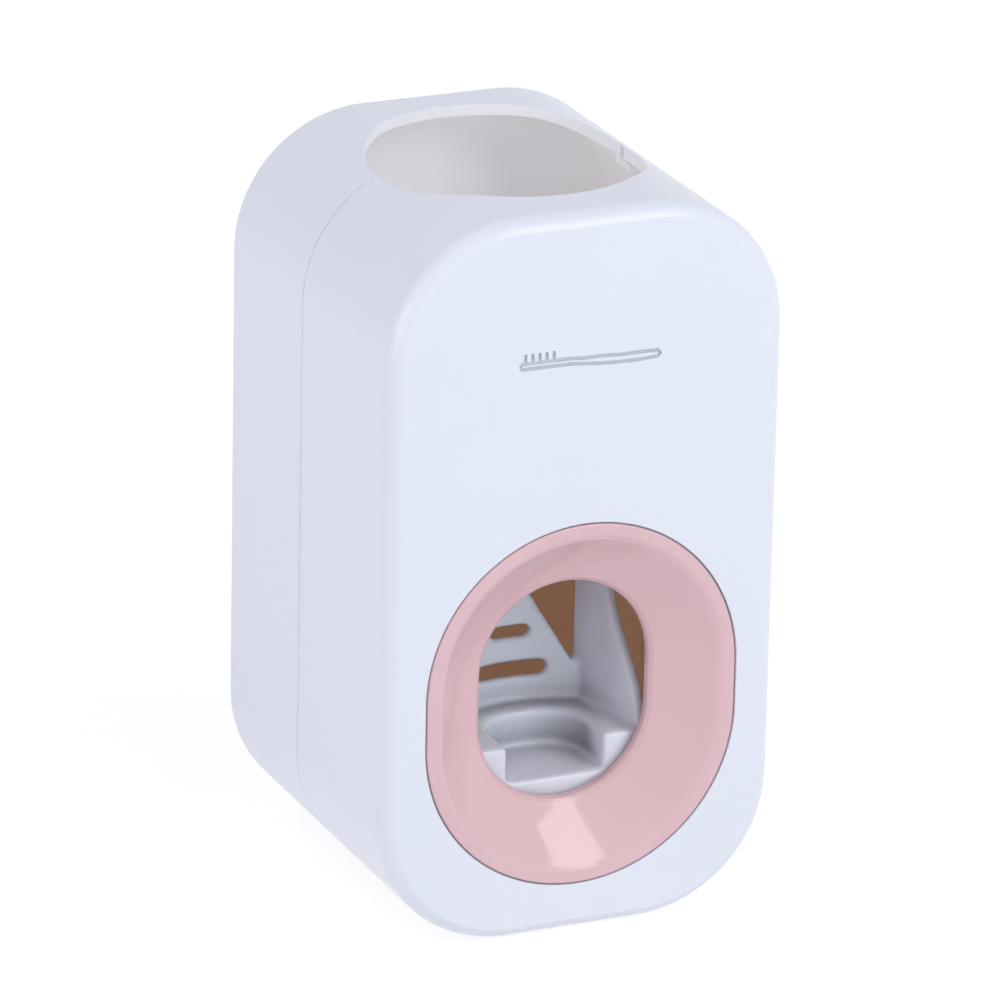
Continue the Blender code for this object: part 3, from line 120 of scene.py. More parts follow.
def add_object(name, data):
    """A new object in the scene."""
    item = bpy.data.objects.new(name, data)
    bpy.context.scene.collection.objects.link(item)
    return item


# %% [markdown]
# Moulded plastic is never one flat colour. The melt leaves faint clouds, and the polished steel of
# the mould leaves a very slight waviness that bends reflections. Both patterns are worked out from
# a size and read Object coordinates, which stay put when a piece moves.

# %% Moulded finishes
CLOUD = 24 * MM


def new_material(name, **values):
    """A new material with some inputs of its Principled shader set."""
    material = bpy.data.materials.new(name)
    material.use_nodes = True
    surface = material.node_tree.nodes["Principled BSDF"]
    for key, value in values.items():
        surface.inputs[key.replace("_", " ")].default_value = value
    return material


def noise(material, size, detail):
    """Noise with patches of a size, in Object coordinates."""
    place = add_node(material, "ShaderNodeTexCoord").outputs["Object"]
    patches = add_node(
        material, "ShaderNodeTexNoise", Vector=place, Scale=1 / size, Detail=detail
    )
    return patches.outputs[0]


def moulded(name, pale, dark, roughness, wave_mm, wave_height_mm, **values):
    """A moulded material with faint clouds of colour and a slight waviness."""
    material = new_material(name, Roughness=roughness, **values)
    tint = add_node(
        material, "ShaderNodeMix", {"data_type": "RGBA"}, _0=noise(material, CLOUD, 2.0),
        _6=colour(pale), _7=colour(dark),
    )
    feed(material, "Base Color", tint.outputs[2])
    bump = add_node(
        material, "ShaderNodeBump", Strength=1.0, Distance=wave_height_mm * MM,
        Height=noise(material, wave_mm * MM, 1.0),
    )
    feed(material, "Normal", bump.outputs["Normal"])
    return material


# White ABS, moulded in a polished tool.
WHITE_ABS = moulded("white_moulded_abs", "f1f3fb", "eef0f8", 0.28, 9.0, 0.004, IOR=1.5)
# The same ABS in the sunk lines of the small picture: spark erosion leaves them matt, and their
# colour is made greyer by painted shade, the shade that falls in the sunk lines.
ENGRAVED_ABS_PAINTED_SHADE = moulded(
    "white_moulded_abs_engraved_painted_shade", "d9dce5", "d3d6df", 0.65, 0.5, 0.004, IOR=1.5
)
# The same ABS on the inside of the casing, with painted light: a faint glow in the surface stands
# for daylight through the thin wall and makes the paste bay look bright. The painted glow grows
# from about half way up to the opening, as less light would come through deeper down.
PAINTED_GLOW = 0.14
GLOW_START = CORNER.z + 70 * MM
GLOW_FULL = CORNER.z + 130 * MM
INNER_ABS_PAINTED_GLOW = moulded(
    "white_moulded_abs_inside_painted_glow", "f1f1f5", "eeeef2", 0.34, 9.0, 0.004, IOR=1.5,
    Emission_Color=colour("fffaf2"),
)
place = add_node(INNER_ABS_PAINTED_GLOW, "ShaderNodeTexCoord").outputs["Object"]
height = add_node(INNER_ABS_PAINTED_GLOW, "ShaderNodeSeparateXYZ", _0=place).outputs[2]
fading = add_node(
    INNER_ABS_PAINTED_GLOW, "ShaderNodeMapRange", {"interpolation_type": "SMOOTHSTEP"},
    _0=height, _1=GLOW_START, _2=GLOW_FULL, _3=0.0, _4=PAINTED_GLOW,
)
feed(INNER_ABS_PAINTED_GLOW, "Emission Strength", fading.outputs[0])

# The same ABS from a finer polished tool, on the small inner pieces, with painted shade in its
# corners. The lever stands deep in the casing, and polished plastic mirrors what is round it; in
# its inner corners that is only more of the shaded lever. The base colour is darkened there as
# painted shade, following how closed in a spot is, over a reach of 30 mm.
REACH = 30 * MM
CLOSED = 0.22
OPEN = 0.58
DARKEST_PAINTED_SHADE = 0.16
LEVER_ABS_PAINTED_SHADE = moulded("white_polished_abs_painted_shade", "eaecf4", "e6e8f0", 0.14, 6.0, 0.006, IOR=1.5)
closed_in = add_node(
    LEVER_ABS_PAINTED_SHADE, "ShaderNodeAmbientOcclusion", {"samples": 24, "only_local": True}, Distance=REACH
)
shade = add_node(
    LEVER_ABS_PAINTED_SHADE, "ShaderNodeMapRange", {"interpolation_type": "SMOOTHSTEP"},
    _0=closed_in.outputs["AO"], _1=CLOSED, _2=OPEN, _3=DARKEST_PAINTED_SHADE, _4=1.0,
)
base = LEVER_ABS_PAINTED_SHADE.node_tree.nodes["Principled BSDF"].inputs["Base Color"]
shaded = add_node(
    LEVER_ABS_PAINTED_SHADE, "ShaderNodeMix", {"data_type": "RGBA", "blend_type": "MULTIPLY"}, _0=1.0,
    _6=base.links[0].from_socket, _7=shade.outputs[0],
)
feed(LEVER_ABS_PAINTED_SHADE, "Base Color", shaded.outputs[2])

# Pink ABS, moulded in a mirror-polished tool: the glossiest piece.
PINK_ABS = moulded("pink_polished_abs", "edc7c9", "e7bec1", 0.10, 7.0, 0.016, IOR=1.52)
# Brown ABS, moulded in a spark-eroded tool: matt, for an inner frame that isn't meant to show.
# Little light gets there, so it carries painted light: a faint glow of its own colour that lights
# it evenly and stands for the light its thin walls take in all round.
BROWN_ABS_PAINTED_GLOW = moulded(
    "brown_moulded_abs_painted_glow", "6b5240", "604939", 0.55, 0.8, 0.010, IOR=1.5,
    Emission_Color=colour("7d5d49"), Emission_Strength=0.82,
)

# Acetal: a slippery, slightly waxy plastic for the roller.
ACETAL = moulded("grey_acetal", "c8cacd", "bfc1c5", 0.38, 3.0, 0.004, IOR=1.48)
# Milky silicone: light goes some way in, so it glows a little at its edges.
MILKY_SILICONE = moulded(
    "milky_silicone", "e8eaec", "dfe2e5", 0.42, 2.0, 0.008,
    IOR=1.41, Subsurface_Weight=0.6, Subsurface_Scale=2.0 * MM,
)
# Grey silicone: dull and a little dusty, for seals, valves and bumpers.
GREY_SILICONE = moulded("grey_silicone", "b4b7bb", "a6a9ae", 0.60, 1.2, 0.012, IOR=1.41)
# Closed-cell acrylic foam tape: grey and pitted, for the pad on the wall.
FOAM_TAPE = moulded("grey_foam_tape", "8f9194", "77797d", 0.90, 0.6, 0.060, IOR=1.4)
print("moulded finishes:", len(bpy.data.materials))

# %% [markdown]
# Steel wire and pins are drawn through a die and then plated or polished. That leaves their gloss a
# little uneven, over less than a millimetre.


# %% Drawn steel
def drawn_steel(name, code, roughness, patch_mm):
    """A metal with a slightly uneven gloss."""
    material = new_material(name, Base_Color=colour(code), Metallic=1.0)
    gloss = add_node(
        material, "ShaderNodeMapRange", _0=noise(material, patch_mm * MM, 3.0),
        _3=roughness - 0.06, _4=roughness + 0.08,
    )
    feed(material, "Roughness", gloss.outputs[0])
    return material


# Nickel-plated steel on screws, pins and clips.
PLATED_STEEL = drawn_steel("nickel_plated_steel", "c9c8c4", 0.26, 0.5)
# Stainless spring wire.
SPRING_STEEL = drawn_steel("stainless_spring_wire", "bdbdbb", 0.30, 0.3)

# %% [markdown]
# The camera stands where the photographer's did: a long lens, to the left of the squeezer and above
# it. Its place was found by fitting the casing's outline, seam, ring and opening to the picture.

# %% Camera
CAMERA_PLACE = Vector((-590.41, -1352.31, 567.46)) * MM
CAMERA_AZIMUTH = radians(24.24)
CAMERA_ELEVATION = radians(20.43)
CAMERA_ROLL = radians(1.21)
CAMERA_LENS_MM = 276.5

forward = Vector((
    sin(CAMERA_AZIMUTH) * cos(CAMERA_ELEVATION),
    cos(CAMERA_AZIMUTH) * cos(CAMERA_ELEVATION),
    -sin(CAMERA_ELEVATION),
))
level = Vector((cos(CAMERA_AZIMUTH), -sin(CAMERA_AZIMUTH), 0))
right = level * cos(CAMERA_ROLL) + level.cross(forward) * sin(CAMERA_ROLL)
up = right.cross(forward)
camera_data = bpy.data.cameras.new("camera")
camera_data.lens = CAMERA_LENS_MM
camera_data.clip_end = 20
camera = add_object("camera", camera_data)
axes = Matrix((right, up, -forward)).transposed().to_4x4()
camera.matrix_world = Matrix.Translation(CAMERA_PLACE) @ axes
bpy.context.scene.camera = camera
bpy.context.scene.view_settings.view_transform = "Standard"
print("camera looks along", tuple(round(c, 3) for c in forward))

# %% [markdown]
# A product like this is shot in a white cove. A little light comes from all round, slightly blue as
# in the photograph, so that shadows stay faint. Camera rays and mirrored rays see plain white. The
# floor tells its rays apart in the same way, so one function does it for both.


# %% World
def looked_at(owner):
    """One for rays from the camera, also once passed on or mirrored, and nought for others."""
    path = add_node(owner, "ShaderNodeLightPath").outputs
    seen = add_node(
        owner, "ShaderNodeMath", {"operation": "ADD"},
        _0=path["Is Camera Ray"], _1=path["Is Transmission Ray"],
    )
    mirrored = add_node(
        owner, "ShaderNodeMath", {"operation": "ADD", "use_clamp": True},
        _0=seen.outputs[0], _1=path["Is Glossy Ray"],
    )
    return mirrored.outputs[0]


AROUND = (0.480, 0.500, 0.555, 1)
world = bpy.data.worlds.new("white_cove")
bpy.context.scene.world = world
world.use_nodes = True
hue = add_node(
    world, "ShaderNodeMix", {"data_type": "RGBA"}, _0=looked_at(world), _6=AROUND, _7=(1, 1, 1, 1)
)
world.node_tree.links.new(hue.outputs[2], world.node_tree.nodes["Background"].inputs["Color"])

# %% [markdown]
# Three soft boxes stand round the squeezer. One is high at the front right: the ring mirrors it at
# its foot. One at the left lights the long side. A wide, weak one in front fills the face and
# reaches the lever through the ring, and isn't mirrored.


# %% Soft boxes
def soft_box(name, direction, distance, width, height, radiance, mirrored=True):
    """A rectangular lamp that faces the squeezer from a direction."""
    lamp = bpy.data.lights.new(name, "AREA")
    lamp.shape = "RECTANGLE"
    lamp.size = width
    lamp.size_y = height
    strongest = max(radiance)
    lamp.color = [level / strongest for level in radiance]
    # A matt lamp gives pi times its radiance from each square metre.
    lamp.energy = strongest * pi * width * height
    way = Vector(direction).normalized()
    item = add_object(name, lamp)
    item.matrix_world = Matrix.LocRotScale(way * distance, way.to_track_quat("Z", "Y"), None)
    item.visible_glossy = mirrored
    print(f"{name}: {lamp.energy:.2f} W")


soft_box("front_right_box", (0.385, -0.615, 0.687), 1.4, 0.62, 0.75, (3.2, 3.2, 3.3))
soft_box("left_box", (-0.93, -0.20, 0.15), 1.4, 0.8, 1.0, (2.25, 2.20, 2.35))
soft_box("front_fill", (0.30, -0.95, 0.04), 1.6, 1.0, 0.7, (2.32, 2.56, 2.62), mirrored=False)

# %% [markdown]
# The floor is plain and white. Seen straight on it glows a little, so that it clips to white like
# the paper of a cove, and the rest of its light comes from the lamps, so that it keeps a shadow.
# Light that only bounces off it meets plain matt paper.

# %% Floor
FLOOR_HALF = 3.0
FLOOR_DROP = 0.2 * MM
FLOOR_GLOW = 0.80
FLOOR_LIT = (0.36, 0.36, 0.36, 1)
FLOOR_BOUNCED = (0.88, 0.88, 0.88, 1)
floor_paper = bpy.data.materials.new("white_floor_paper")
floor_paper.use_nodes = True
paper_tree = floor_paper.node_tree
paper_tree.nodes.remove(paper_tree.nodes["Principled BSDF"])
lit = add_node(floor_paper, "ShaderNodeBsdfDiffuse", Color=FLOOR_LIT)
glow = add_node(floor_paper, "ShaderNodeEmission", Color=(1, 1, 1, 1), Strength=FLOOR_GLOW)
shown = add_node(floor_paper, "ShaderNodeAddShader", _0=lit.outputs[0], _1=glow.outputs[0])
bounced = add_node(floor_paper, "ShaderNodeBsdfDiffuse", Color=FLOOR_BOUNCED)
choice = add_node(
    floor_paper, "ShaderNodeMixShader",
    _0=looked_at(floor_paper), _1=bounced.outputs[0], _2=shown.outputs[0],
)
paper_tree.links.new(choice.outputs[0], paper_tree.nodes["Material Output"].inputs["Surface"])

bm = bmesh.new()
bmesh.ops.create_grid(bm, x_segments=1, y_segments=1, size=FLOOR_HALF)
bmesh.ops.translate(bm, verts=bm.verts, vec=(0, 0, front_low.z - FLOOR_DROP))
floor_mesh = bpy.data.meshes.new("floor")
bm.to_mesh(floor_mesh)
bm.free()
floor_mesh.materials.append(floor_paper)
floor = add_object("floor", floor_mesh)

# %% [markdown]
# Each piece ends the same way: its doubles are merged, its faces turned outwards, its mesh carried
# to the wall, and its flat faces kept flat by weighted normals beside the small rounded edges. A
# zone gives another finish to the faces whose centre it holds. Booleans are applied at once, on
# objects that live only for that step.


# %% Helpers that finish and join pieces
def finish_piece(name, bm, material, body, *nodes, crease=40, zones=()):
    """Turns a bmesh into a finished piece that rides on a body and stands for CAD nodes."""
    bmesh.ops.remove_doubles(bm, verts=bm.verts, dist=MERGE)
    bmesh.ops.recalc_face_normals(bm, faces=bm.faces)
    bmesh.ops.translate(bm, verts=bm.verts, vec=CORNER)
    mesh = bpy.data.meshes.new(name)
    bm.to_mesh(mesh)
    bm.free()
    mesh.shade_smooth()
    mesh.set_sharp_from_angle(angle=radians(crease))
    mesh.materials.append(material)
    for index, (other, holds) in enumerate(zones, 1):
        mesh.materials.append(other)
        for face in mesh.polygons:
            if holds(face.center):
                face.material_index = index
    item = add_object(name, mesh)
    keep_flat = item.modifiers.new("weighted_normals", "WEIGHTED_NORMAL")
    keep_flat.keep_sharp = True
    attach(item, body)
    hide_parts(*nodes)
    print(f"{name}: {len(mesh.polygons)} faces")
    return item


def work_object(bm):
    """A bmesh as an object, for modifiers to work on."""
    mesh = bpy.data.meshes.new("work")
    bm.to_mesh(mesh)
    return add_object("work", mesh)


def take_back(bm, item, *helpers):
    """Fills a bmesh with what an object's modifiers make of it, and drops the objects."""
    graph = bpy.context.evaluated_depsgraph_get()
    result = bpy.data.meshes.new_from_object(item.evaluated_get(graph))
    bm.clear()
    bm.from_mesh(result)
    for work in (item, *helpers):
        bpy.data.objects.remove(work, do_unlink=True)


def boolean(bm, operation, *others):
    """Joins or cuts a bmesh with others, by Boolean modifiers that are applied at once."""
    item = work_object(bm)
    helpers = []
    for other in others:
        bmesh.ops.recalc_face_normals(other, faces=other.faces)
        helpers.append(work_object(other))
        other.free()
        step = item.modifiers.new("step", "BOOLEAN")
        step.operation = operation
        step.object = helpers[-1]
    take_back(bm, item, *helpers)


def of_kind(parts, kind):
    """The vertices or the edges among what a bmesh operator gives back."""
    return [part for part in parts if isinstance(part, kind)]


# %% [markdown]
# The casing's wall is the same all round, so it is made like sheet: drawn flat, with the tube
# opening cut and its rim rounded while every face is still flat, and then rolled round the casing's
# outline. `roll_place` says where a point of the flat sheet lands. Along the sheet runs the way
# round the outline, from the middle of the bottom, and across it the depth.

# %% The way round the casing
ARC = ROUND * pi / 2
SIDE_RUN = HEIGHT - 2 * ROUND
TOP_RUN = WIDTH - 2 * ROUND
AROUND_RUN = 4 * ARC + 2 * SIDE_RUN + 2 * TOP_RUN
CORNER_CUTS = 40
SIDE_CUTS = 3
TOP_CUTS = 8


def legs():
    """The way round: each leg's run, its cuts, its start or centre and its way or first angle."""
    left, right_side = -TOP_RUN / 2, TOP_RUN / 2
    return (
        (TOP_RUN / 2, 1, (0, 0), (1, 0)),
        (ARC, CORNER_CUTS, (right_side, ROUND), -90),
        (SIDE_RUN, SIDE_CUTS, (WIDTH / 2, ROUND), (0, 1)),
        (ARC, CORNER_CUTS, (right_side, HEIGHT - ROUND), 0),
        (TOP_RUN, TOP_CUTS, (right_side, HEIGHT), (-1, 0)),
        (ARC, CORNER_CUTS, (left, HEIGHT - ROUND), 90),
        (SIDE_RUN, SIDE_CUTS, (-WIDTH / 2, HEIGHT - ROUND), (0, -1)),
        (ARC, CORNER_CUTS, (left, ROUND), 180),
        (TOP_RUN / 2, 1, (left, 0), (1, 0)),
    )


def roll_place(along, inset):
    """(x, z) of a point on the casing's outline, drawn in by an inset."""
    rest = min(max(along, 0.0), AROUND_RUN)
    for run, _, start, way in legs():
        if rest <= run:
            break
        rest -= run
    if isinstance(way, tuple):
        return (
            start[0] + way[0] * rest - way[1] * inset,
            start[1] + way[1] * rest + way[0] * inset,
        )
    angle = radians(way) + rest / ROUND
    radius = ROUND - inset
    return start[0] + radius * cos(angle), start[1] + radius * sin(angle)


def along_top(x, inset):
    """How far along the sheet a point of the top lies, for its x at an inset."""
    half = AROUND_RUN / 2
    beyond = abs(x) - TOP_RUN / 2
    if beyond <= 0:
        return half - x
    turn = asin(min(beyond / (ROUND - inset), 1.0))
    return half - copysign(TOP_RUN / 2 + ROUND * turn, x)


print(f"the casing is {AROUND_RUN / MM:.1f} mm round")

# %% [markdown]
# The tube opening is straight-sided when seen from above, so its outline on the flat sheet is
# worked out at four depths, from just outside the wall to well inside it, and a cutter is bridged
# through them. The inside of the wall and the rim of the opening get the inner finish with its
# painted glow, which `is_inner` tells by how deep a face lies.

# %% The tube opening
BAY_HALF = 26.5 * MM
BAY_FRONT = 12.6 * MM
BAY_BACK = 72.4 * MM
BAY_STEPS = 56
RIM_ROUND = 0.7 * MM
RIM_REACH = 1.1 * MM
RIM_DROP = 12 * MM
RIM_SKIN = 0.12 * MM
WALL_SKIN = WALL - 0.4 * MM
SEAM_REACH = 1 * MM


def depth_inside(point):
    """How far a point lies inside the casing's outer surface."""
    x = abs(point.x) - TOP_RUN / 2
    z = abs(point.z - CORNER.z - HEIGHT / 2) - SIDE_RUN / 2
    beyond = hypot(max(x, 0), max(z, 0)) + min(max(x, z), 0) - ROUND
    return min(-beyond, point.y - CORNER.y, CORNER.y + DEPTH - point.y)


def is_inner(point):
    """Whether a face is inside the wall or on the rim of the opening, by its centre."""
    y = point.y - CORNER.y
    on_rim = (
        abs(point.x) < BAY_HALF + RIM_REACH
        and BAY_FRONT - RIM_REACH < y < BAY_BACK + RIM_REACH
        and point.z - CORNER.z > HEIGHT - RIM_DROP
        and abs(y - SEAM) > SEAM_REACH
    )
    return depth_inside(point) > (RIM_SKIN if on_rim else WALL_SKIN)


def round_points(centre, radius, start, end, steps):
    """Points on an arc between two angles in degrees."""
    points = []
    for i in range(steps + 1):
        angle = radians(start + (end - start) * i / steps)
        points.append((centre[0] + radius * cos(angle), centre[1] + radius * sin(angle)))
    return points


def bay_plan():
    """The opening from above: two half circles joined by short straight sides."""
    back = round_points((0, BAY_BACK - BAY_HALF), BAY_HALF, 0, 180, BAY_STEPS)
    return back + round_points((0, BAY_FRONT + BAY_HALF), BAY_HALF, 180, 360, BAY_STEPS)


def wire(bm, points, closed=True):
    """A line of edges through points."""
    verts = [bm.verts.new(point) for point in points]
    pairs = list(zip(verts, verts[1:] + verts[:1]))
    return [bm.edges.new(pair) for pair in (pairs if closed else pairs[:-1])]


def bridged(*loops):
    """A closed solid skinned over loops of points, with its ends filled."""
    bm = bmesh.new()
    rows = [wire(bm, loop) for loop in loops]
    for row, after in zip(rows, rows[1:]):
        bmesh.ops.bridge_loops(bm, edges=row + after)
    for row in (rows[0], rows[-1]):
        bmesh.ops.contextual_create(bm, geom=row)
    bmesh.ops.recalc_face_normals(bm, faces=bm.faces)
    return bm


def bay_cutter():
    """What cuts the opening out of the flat sheet, whose outer face lies at height zero."""
    loops = []
    for inset in (-2 * MM, 0, WALL, 3 * WALL):
        loops.append([(along_top(x, inset), y, -inset) for x, y in bay_plan()])
    return bridged(*loops)


def soften(points, radius, closed=True, steps=4, least=8):
    """Rounds the corners of a flat line of points that turn by more than a least angle."""
    rounded = []
    count = len(points)
    for i, point in enumerate(points):
        here = Vector(point)
        if not closed and i in (0, count - 1):
            rounded.append(here)
            continue
        before = Vector(points[i - 1]) - here
        after = Vector(points[(i + 1) % count]) - here
        turn = pi - before.angle(after)
        if turn < radians(least):
            rounded.append(here)
            continue
        reach = radius * tan(turn / 2)
        reach = min(reach, before.length * 0.45, after.length * 0.45)
        one = here + before.normalized() * reach
        two = here + after.normalized() * reach
        for k in range(steps + 1):
            share = k / steps
            rounded.append(
                one * (1 - share) ** 2 + here * 2 * share * (1 - share) + two * share**2
            )
    return [tuple(p) for p in rounded]


# %% [markdown]
# The rolling itself is only a transform. Before it, the sheet is scored with straight cuts: close
# together where it bends round a corner, and few where it stays flat.

# %% Rolling the sheet
SHARP = radians(50)


def flat_sheet(profile):
    """A sheet as long as the way round; its profile is in (inset, depth)."""
    bm = bmesh.new()
    edges = wire(bm, [(0, depth, -inset) for inset, depth in profile])
    face = bmesh.ops.contextual_create(bm, geom=edges)["faces"][0]
    made = bmesh.ops.extrude_face_region(bm, geom=[face])
    moved = of_kind(made["geom"], bmesh.types.BMVert)
    bmesh.ops.translate(bm, verts=moved, vec=(AROUND_RUN, 0, 0))
    bmesh.ops.recalc_face_normals(bm, faces=bm.faces)
    return bm


def score_lines():
    """Where the flat sheet is cut so that it can bend."""
    lines = []
    start = 0.0
    for run, cuts, *_ in legs():
        lines += [start + run * i / cuts for i in range(cuts)]
        start += run
    return lines[1:]


def at_end(part):
    """Whether a part of the flat sheet lies wholly in one of its two ends."""
    low = all(v.co.x < NEAR for v in part.verts)
    return low or all(v.co.x > AROUND_RUN - NEAR for v in part.verts)


def drawn_by(one, two):
    """A test for the faces that the profile's edge between two (inset, depth) points has drawn."""
    ends = [Vector((depth, -inset)) for inset, depth in (one, two)]
    return lambda face: all(min((v.co.yz - end).length for end in ends) < NEAR for v in face.verts)


def roll(bm, spare):
    """Scores the sheet, wraps it round the casing and leaves out its ends and spare faces."""
    for line in score_lines():
        bmesh.ops.bisect_plane(
            bm, geom=bm.verts[:] + bm.edges[:] + bm.faces[:], dist=MERGE,
            plane_co=(line, 0, 0), plane_no=(1, 0, 0),
        )
    gone = [face for face in bm.faces if at_end(face) or spare(face)]
    bmesh.ops.delete(bm, geom=gone, context="FACES")
    for vert in bm.verts:
        x, z = roll_place(vert.co.x, -vert.co.z)
        vert.co = (x, vert.co.y, z)
    bmesh.ops.remove_doubles(bm, verts=bm.verts, dist=5 * MERGE)


def round_edges(bm, edges, width, segments):
    """Rounds edges by a small bevel."""
    bmesh.ops.bevel(
        bm, geom=edges, offset=width, offset_type="OFFSET", segments=segments, profile=0.5,
        affect="EDGES", clamp_overlap=True, material=-1,
    )


def opening_edges(bm):
    """The edges that the tube opening has cut in the flat sheet's two faces."""
    edges = []
    middle = AROUND_RUN / 2
    for edge in bm.edges:
        one, two = (v.co for v in edge.verts)
        if abs(one.z - two.z) > MERGE or len(edge.link_faces) != 2:
            continue
        beside = min(abs(one.x - middle), abs(two.x - middle)) < BAY_HALF * 1.4
        behind_front = min(one.y, two.y) > BAY_FRONT - 0.1 * MM
        before_back = max(one.y, two.y) < BAY_BACK + 0.1 * MM
        # The profile's own edges run the whole length of the sheet, or what the opening leaves.
        long = abs(one.x - two.x)
        straight = long > 0.3 * AROUND_RUN or (abs(one.y - two.y) < MERGE / 10 and long > 8 * MM)
        opened = beside and behind_front and before_back and not straight
        if opened and edge.calc_face_angle() > SHARP:
            edges.append(edge)
    return edges


def casing_half(profile, one, two):
    """A half of the casing from its profile, open where the edge between two points was."""
    bm = flat_sheet(profile)
    boolean(bm, "DIFFERENCE", bay_cutter())
    round_edges(bm, opening_edges(bm), RIM_ROUND, 5)
    roll(bm, drawn_by(one, two))
    return bm


def fill(bm, depth, dissolve):
    """Fills the open edges at a depth with a flat face of triangles."""
    edges = [
        edge
        for edge in bm.edges
        if edge.is_boundary and all(abs(v.co.y - depth) < NEAR for v in edge.verts)
    ]
    bmesh.ops.triangle_fill(bm, use_beauty=True, use_dissolve=dissolve, edges=edges)


# %% [markdown]
# Straight-sided solids are drawn from an outline along an axis. Rods are the same with a round one.


# %% Slabs and rods
def mm_points(*points):
    """Points that are given in millimetres."""
    return [(one * MM, two * MM) for one, two in points]


ALONG_AXIS = {
    "X": lambda a, b, way: (way, a, b),
    "Y": lambda a, b, way: (a, way, b),
    "Z": lambda a, b, way: (a, b, way),
}


def slab(outline, low, high, axis):
    """An outline drawn straight along an axis into a closed solid."""
    place = ALONG_AXIS[axis]
    return bridged(*[[place(a, b, way) for a, b in outline] for way in (low, high)])


def rod(radius, low, high, axis, centre, steps=48):
    """A round rod along an axis."""
    return slab(round_points(centre, radius, 0, 360 - 360 / steps, steps - 1), low, high, axis)


# %% [markdown]
# The front half's profile runs from the front face over the softened front edge to the seam and
# back inside the wall. Its front is then filled round the ring's stepped seat, whose edge is broken
# by a small radius so that it catches a thin line of light.

# %% Front half of the casing
EDGE_DEPTH = 3.6 * MM
EDGE_INSET = 2.6 * MM
EDGE_TURN = radians(50)
FRONT_WALL = 2.6 * MM
FRONT_END = SEAM - SEAM_GAP / 2
EDGE_STEPS = 10

ring_low, ring_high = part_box("front_ring")
RING_RADIUS = (ring_high.x - ring_low.x) / 2
RING_STRAIGHT = (ring_high.z - ring_low.z) / 2 - RING_RADIUS
RING_MIDDLE = (ring_high.z + ring_low.z) / 2 - CORNER.z
STADIUM_STEPS = 64


def edge_band():
    """(inset, depth) over the front edge: a shallow arc between the front face and the side."""
    lean = atan2(EDGE_DEPTH, EDGE_INSET)
    chord = hypot(EDGE_INSET, EDGE_DEPTH)
    radius = chord / 2 / sin(EDGE_TURN / 2)
    drop = radius * cos(EDGE_TURN / 2)
    centre = (EDGE_INSET / 2 + drop * sin(lean), EDGE_DEPTH / 2 + drop * cos(lean))
    first = degrees(EDGE_TURN / 2 - lean) - 90
    return round_points(centre, radius, first, first - degrees(EDGE_TURN), EDGE_STEPS)


def stadium(radius, depth):
    """A loop of points round the ring's outline."""
    return [
        (x, depth, z)
        for middle, start in ((RING_MIDDLE + RING_STRAIGHT, 0), (RING_MIDDLE - RING_STRAIGHT, 180))
        for x, z in round_points((0, middle), radius, start, start + 180, STADIUM_STEPS)
    ]


FLAT_START = EDGE_INSET + 1.2 * MM
SEAM_ROUND = 0.12 * MM
FRONT_PROFILE = soften(
    [(FLAT_START, 0), *edge_band(), (0, FRONT_END - SEAM_ROUND)], 1.2 * MM, False, 4, 7
)
FRONT_PROFILE += [(SEAM_ROUND, FRONT_END), (WALL, FRONT_END), (WALL, FRONT_WALL)]
casing_front = casing_half(FRONT_PROFILE, FRONT_PROFILE[-1], FRONT_PROFILE[0])
SEAT = (
    (RING_RADIUS + 0.55 * MM, 0),
    (RING_RADIUS + 0.39 * MM, 0.07 * MM),
    (RING_RADIUS + 0.30 * MM, 0.25 * MM),
    (RING_RADIUS + 0.30 * MM, 1.4 * MM),
    (RING_RADIUS - 1.6 * MM, 1.42 * MM),
    (RING_RADIUS - 1.6 * MM, FRONT_WALL),
)
seat_rows = [wire(casing_front, stadium(radius, depth)) for radius, depth in SEAT]
for row, after in zip(seat_rows, seat_rows[1:]):
    bmesh.ops.bridge_loops(casing_front, edges=row + after)
for depth in (0, FRONT_WALL):
    fill(casing_front, depth, False)

# %% [markdown]
# Where the real product carries a word, this one carries a picture of a toothbrush in fine lines.
# The lines are sunk into the front, as if the mould's steel stood proud there.

# %% The sunk picture
LINE = 0.75 * MM
LINE_DEPTH = 0.45 * MM
PICTURE_MIDDLE = 120.6 * MM
PICTURE_HALF_WIDE = 17 * MM
PICTURE_HALF_HIGH = 4 * MM


def stroke(points, width):
    """The outline of a line of one width with round ends, from (x, z) points."""
    spots = [Vector(point) for point in points]
    left, right_side = [], []
    for i, spot in enumerate(spots):
        before = spots[max(i - 1, 0)]
        after = spots[min(i + 1, len(spots) - 1)]
        way = (after - before).normalized()
        side = Vector((-way.y, way.x)) * width / 2
        left.append(spot + side)
        right_side.append(spot - side)
    ends = []
    for spot, toward in ((spots[-1], spots[-1] - spots[-2]), (spots[0], spots[0] - spots[1])):
        start = degrees(atan2(toward.y, toward.x)) + 90
        ends.append(round_points(spot, width / 2, start - 30, start - 150, 4))
    return [tuple(p) for p in (*left, *ends[0], *reversed(right_side), *ends[1])]


def sunk(points):
    """A cutter for one sunk line, from (x, z) points in millimetres."""
    outline = stroke([(x * MM, PICTURE_MIDDLE + z * MM) for x, z in points], LINE)
    return slab(outline, -1 * MM, LINE_DEPTH, "Y")


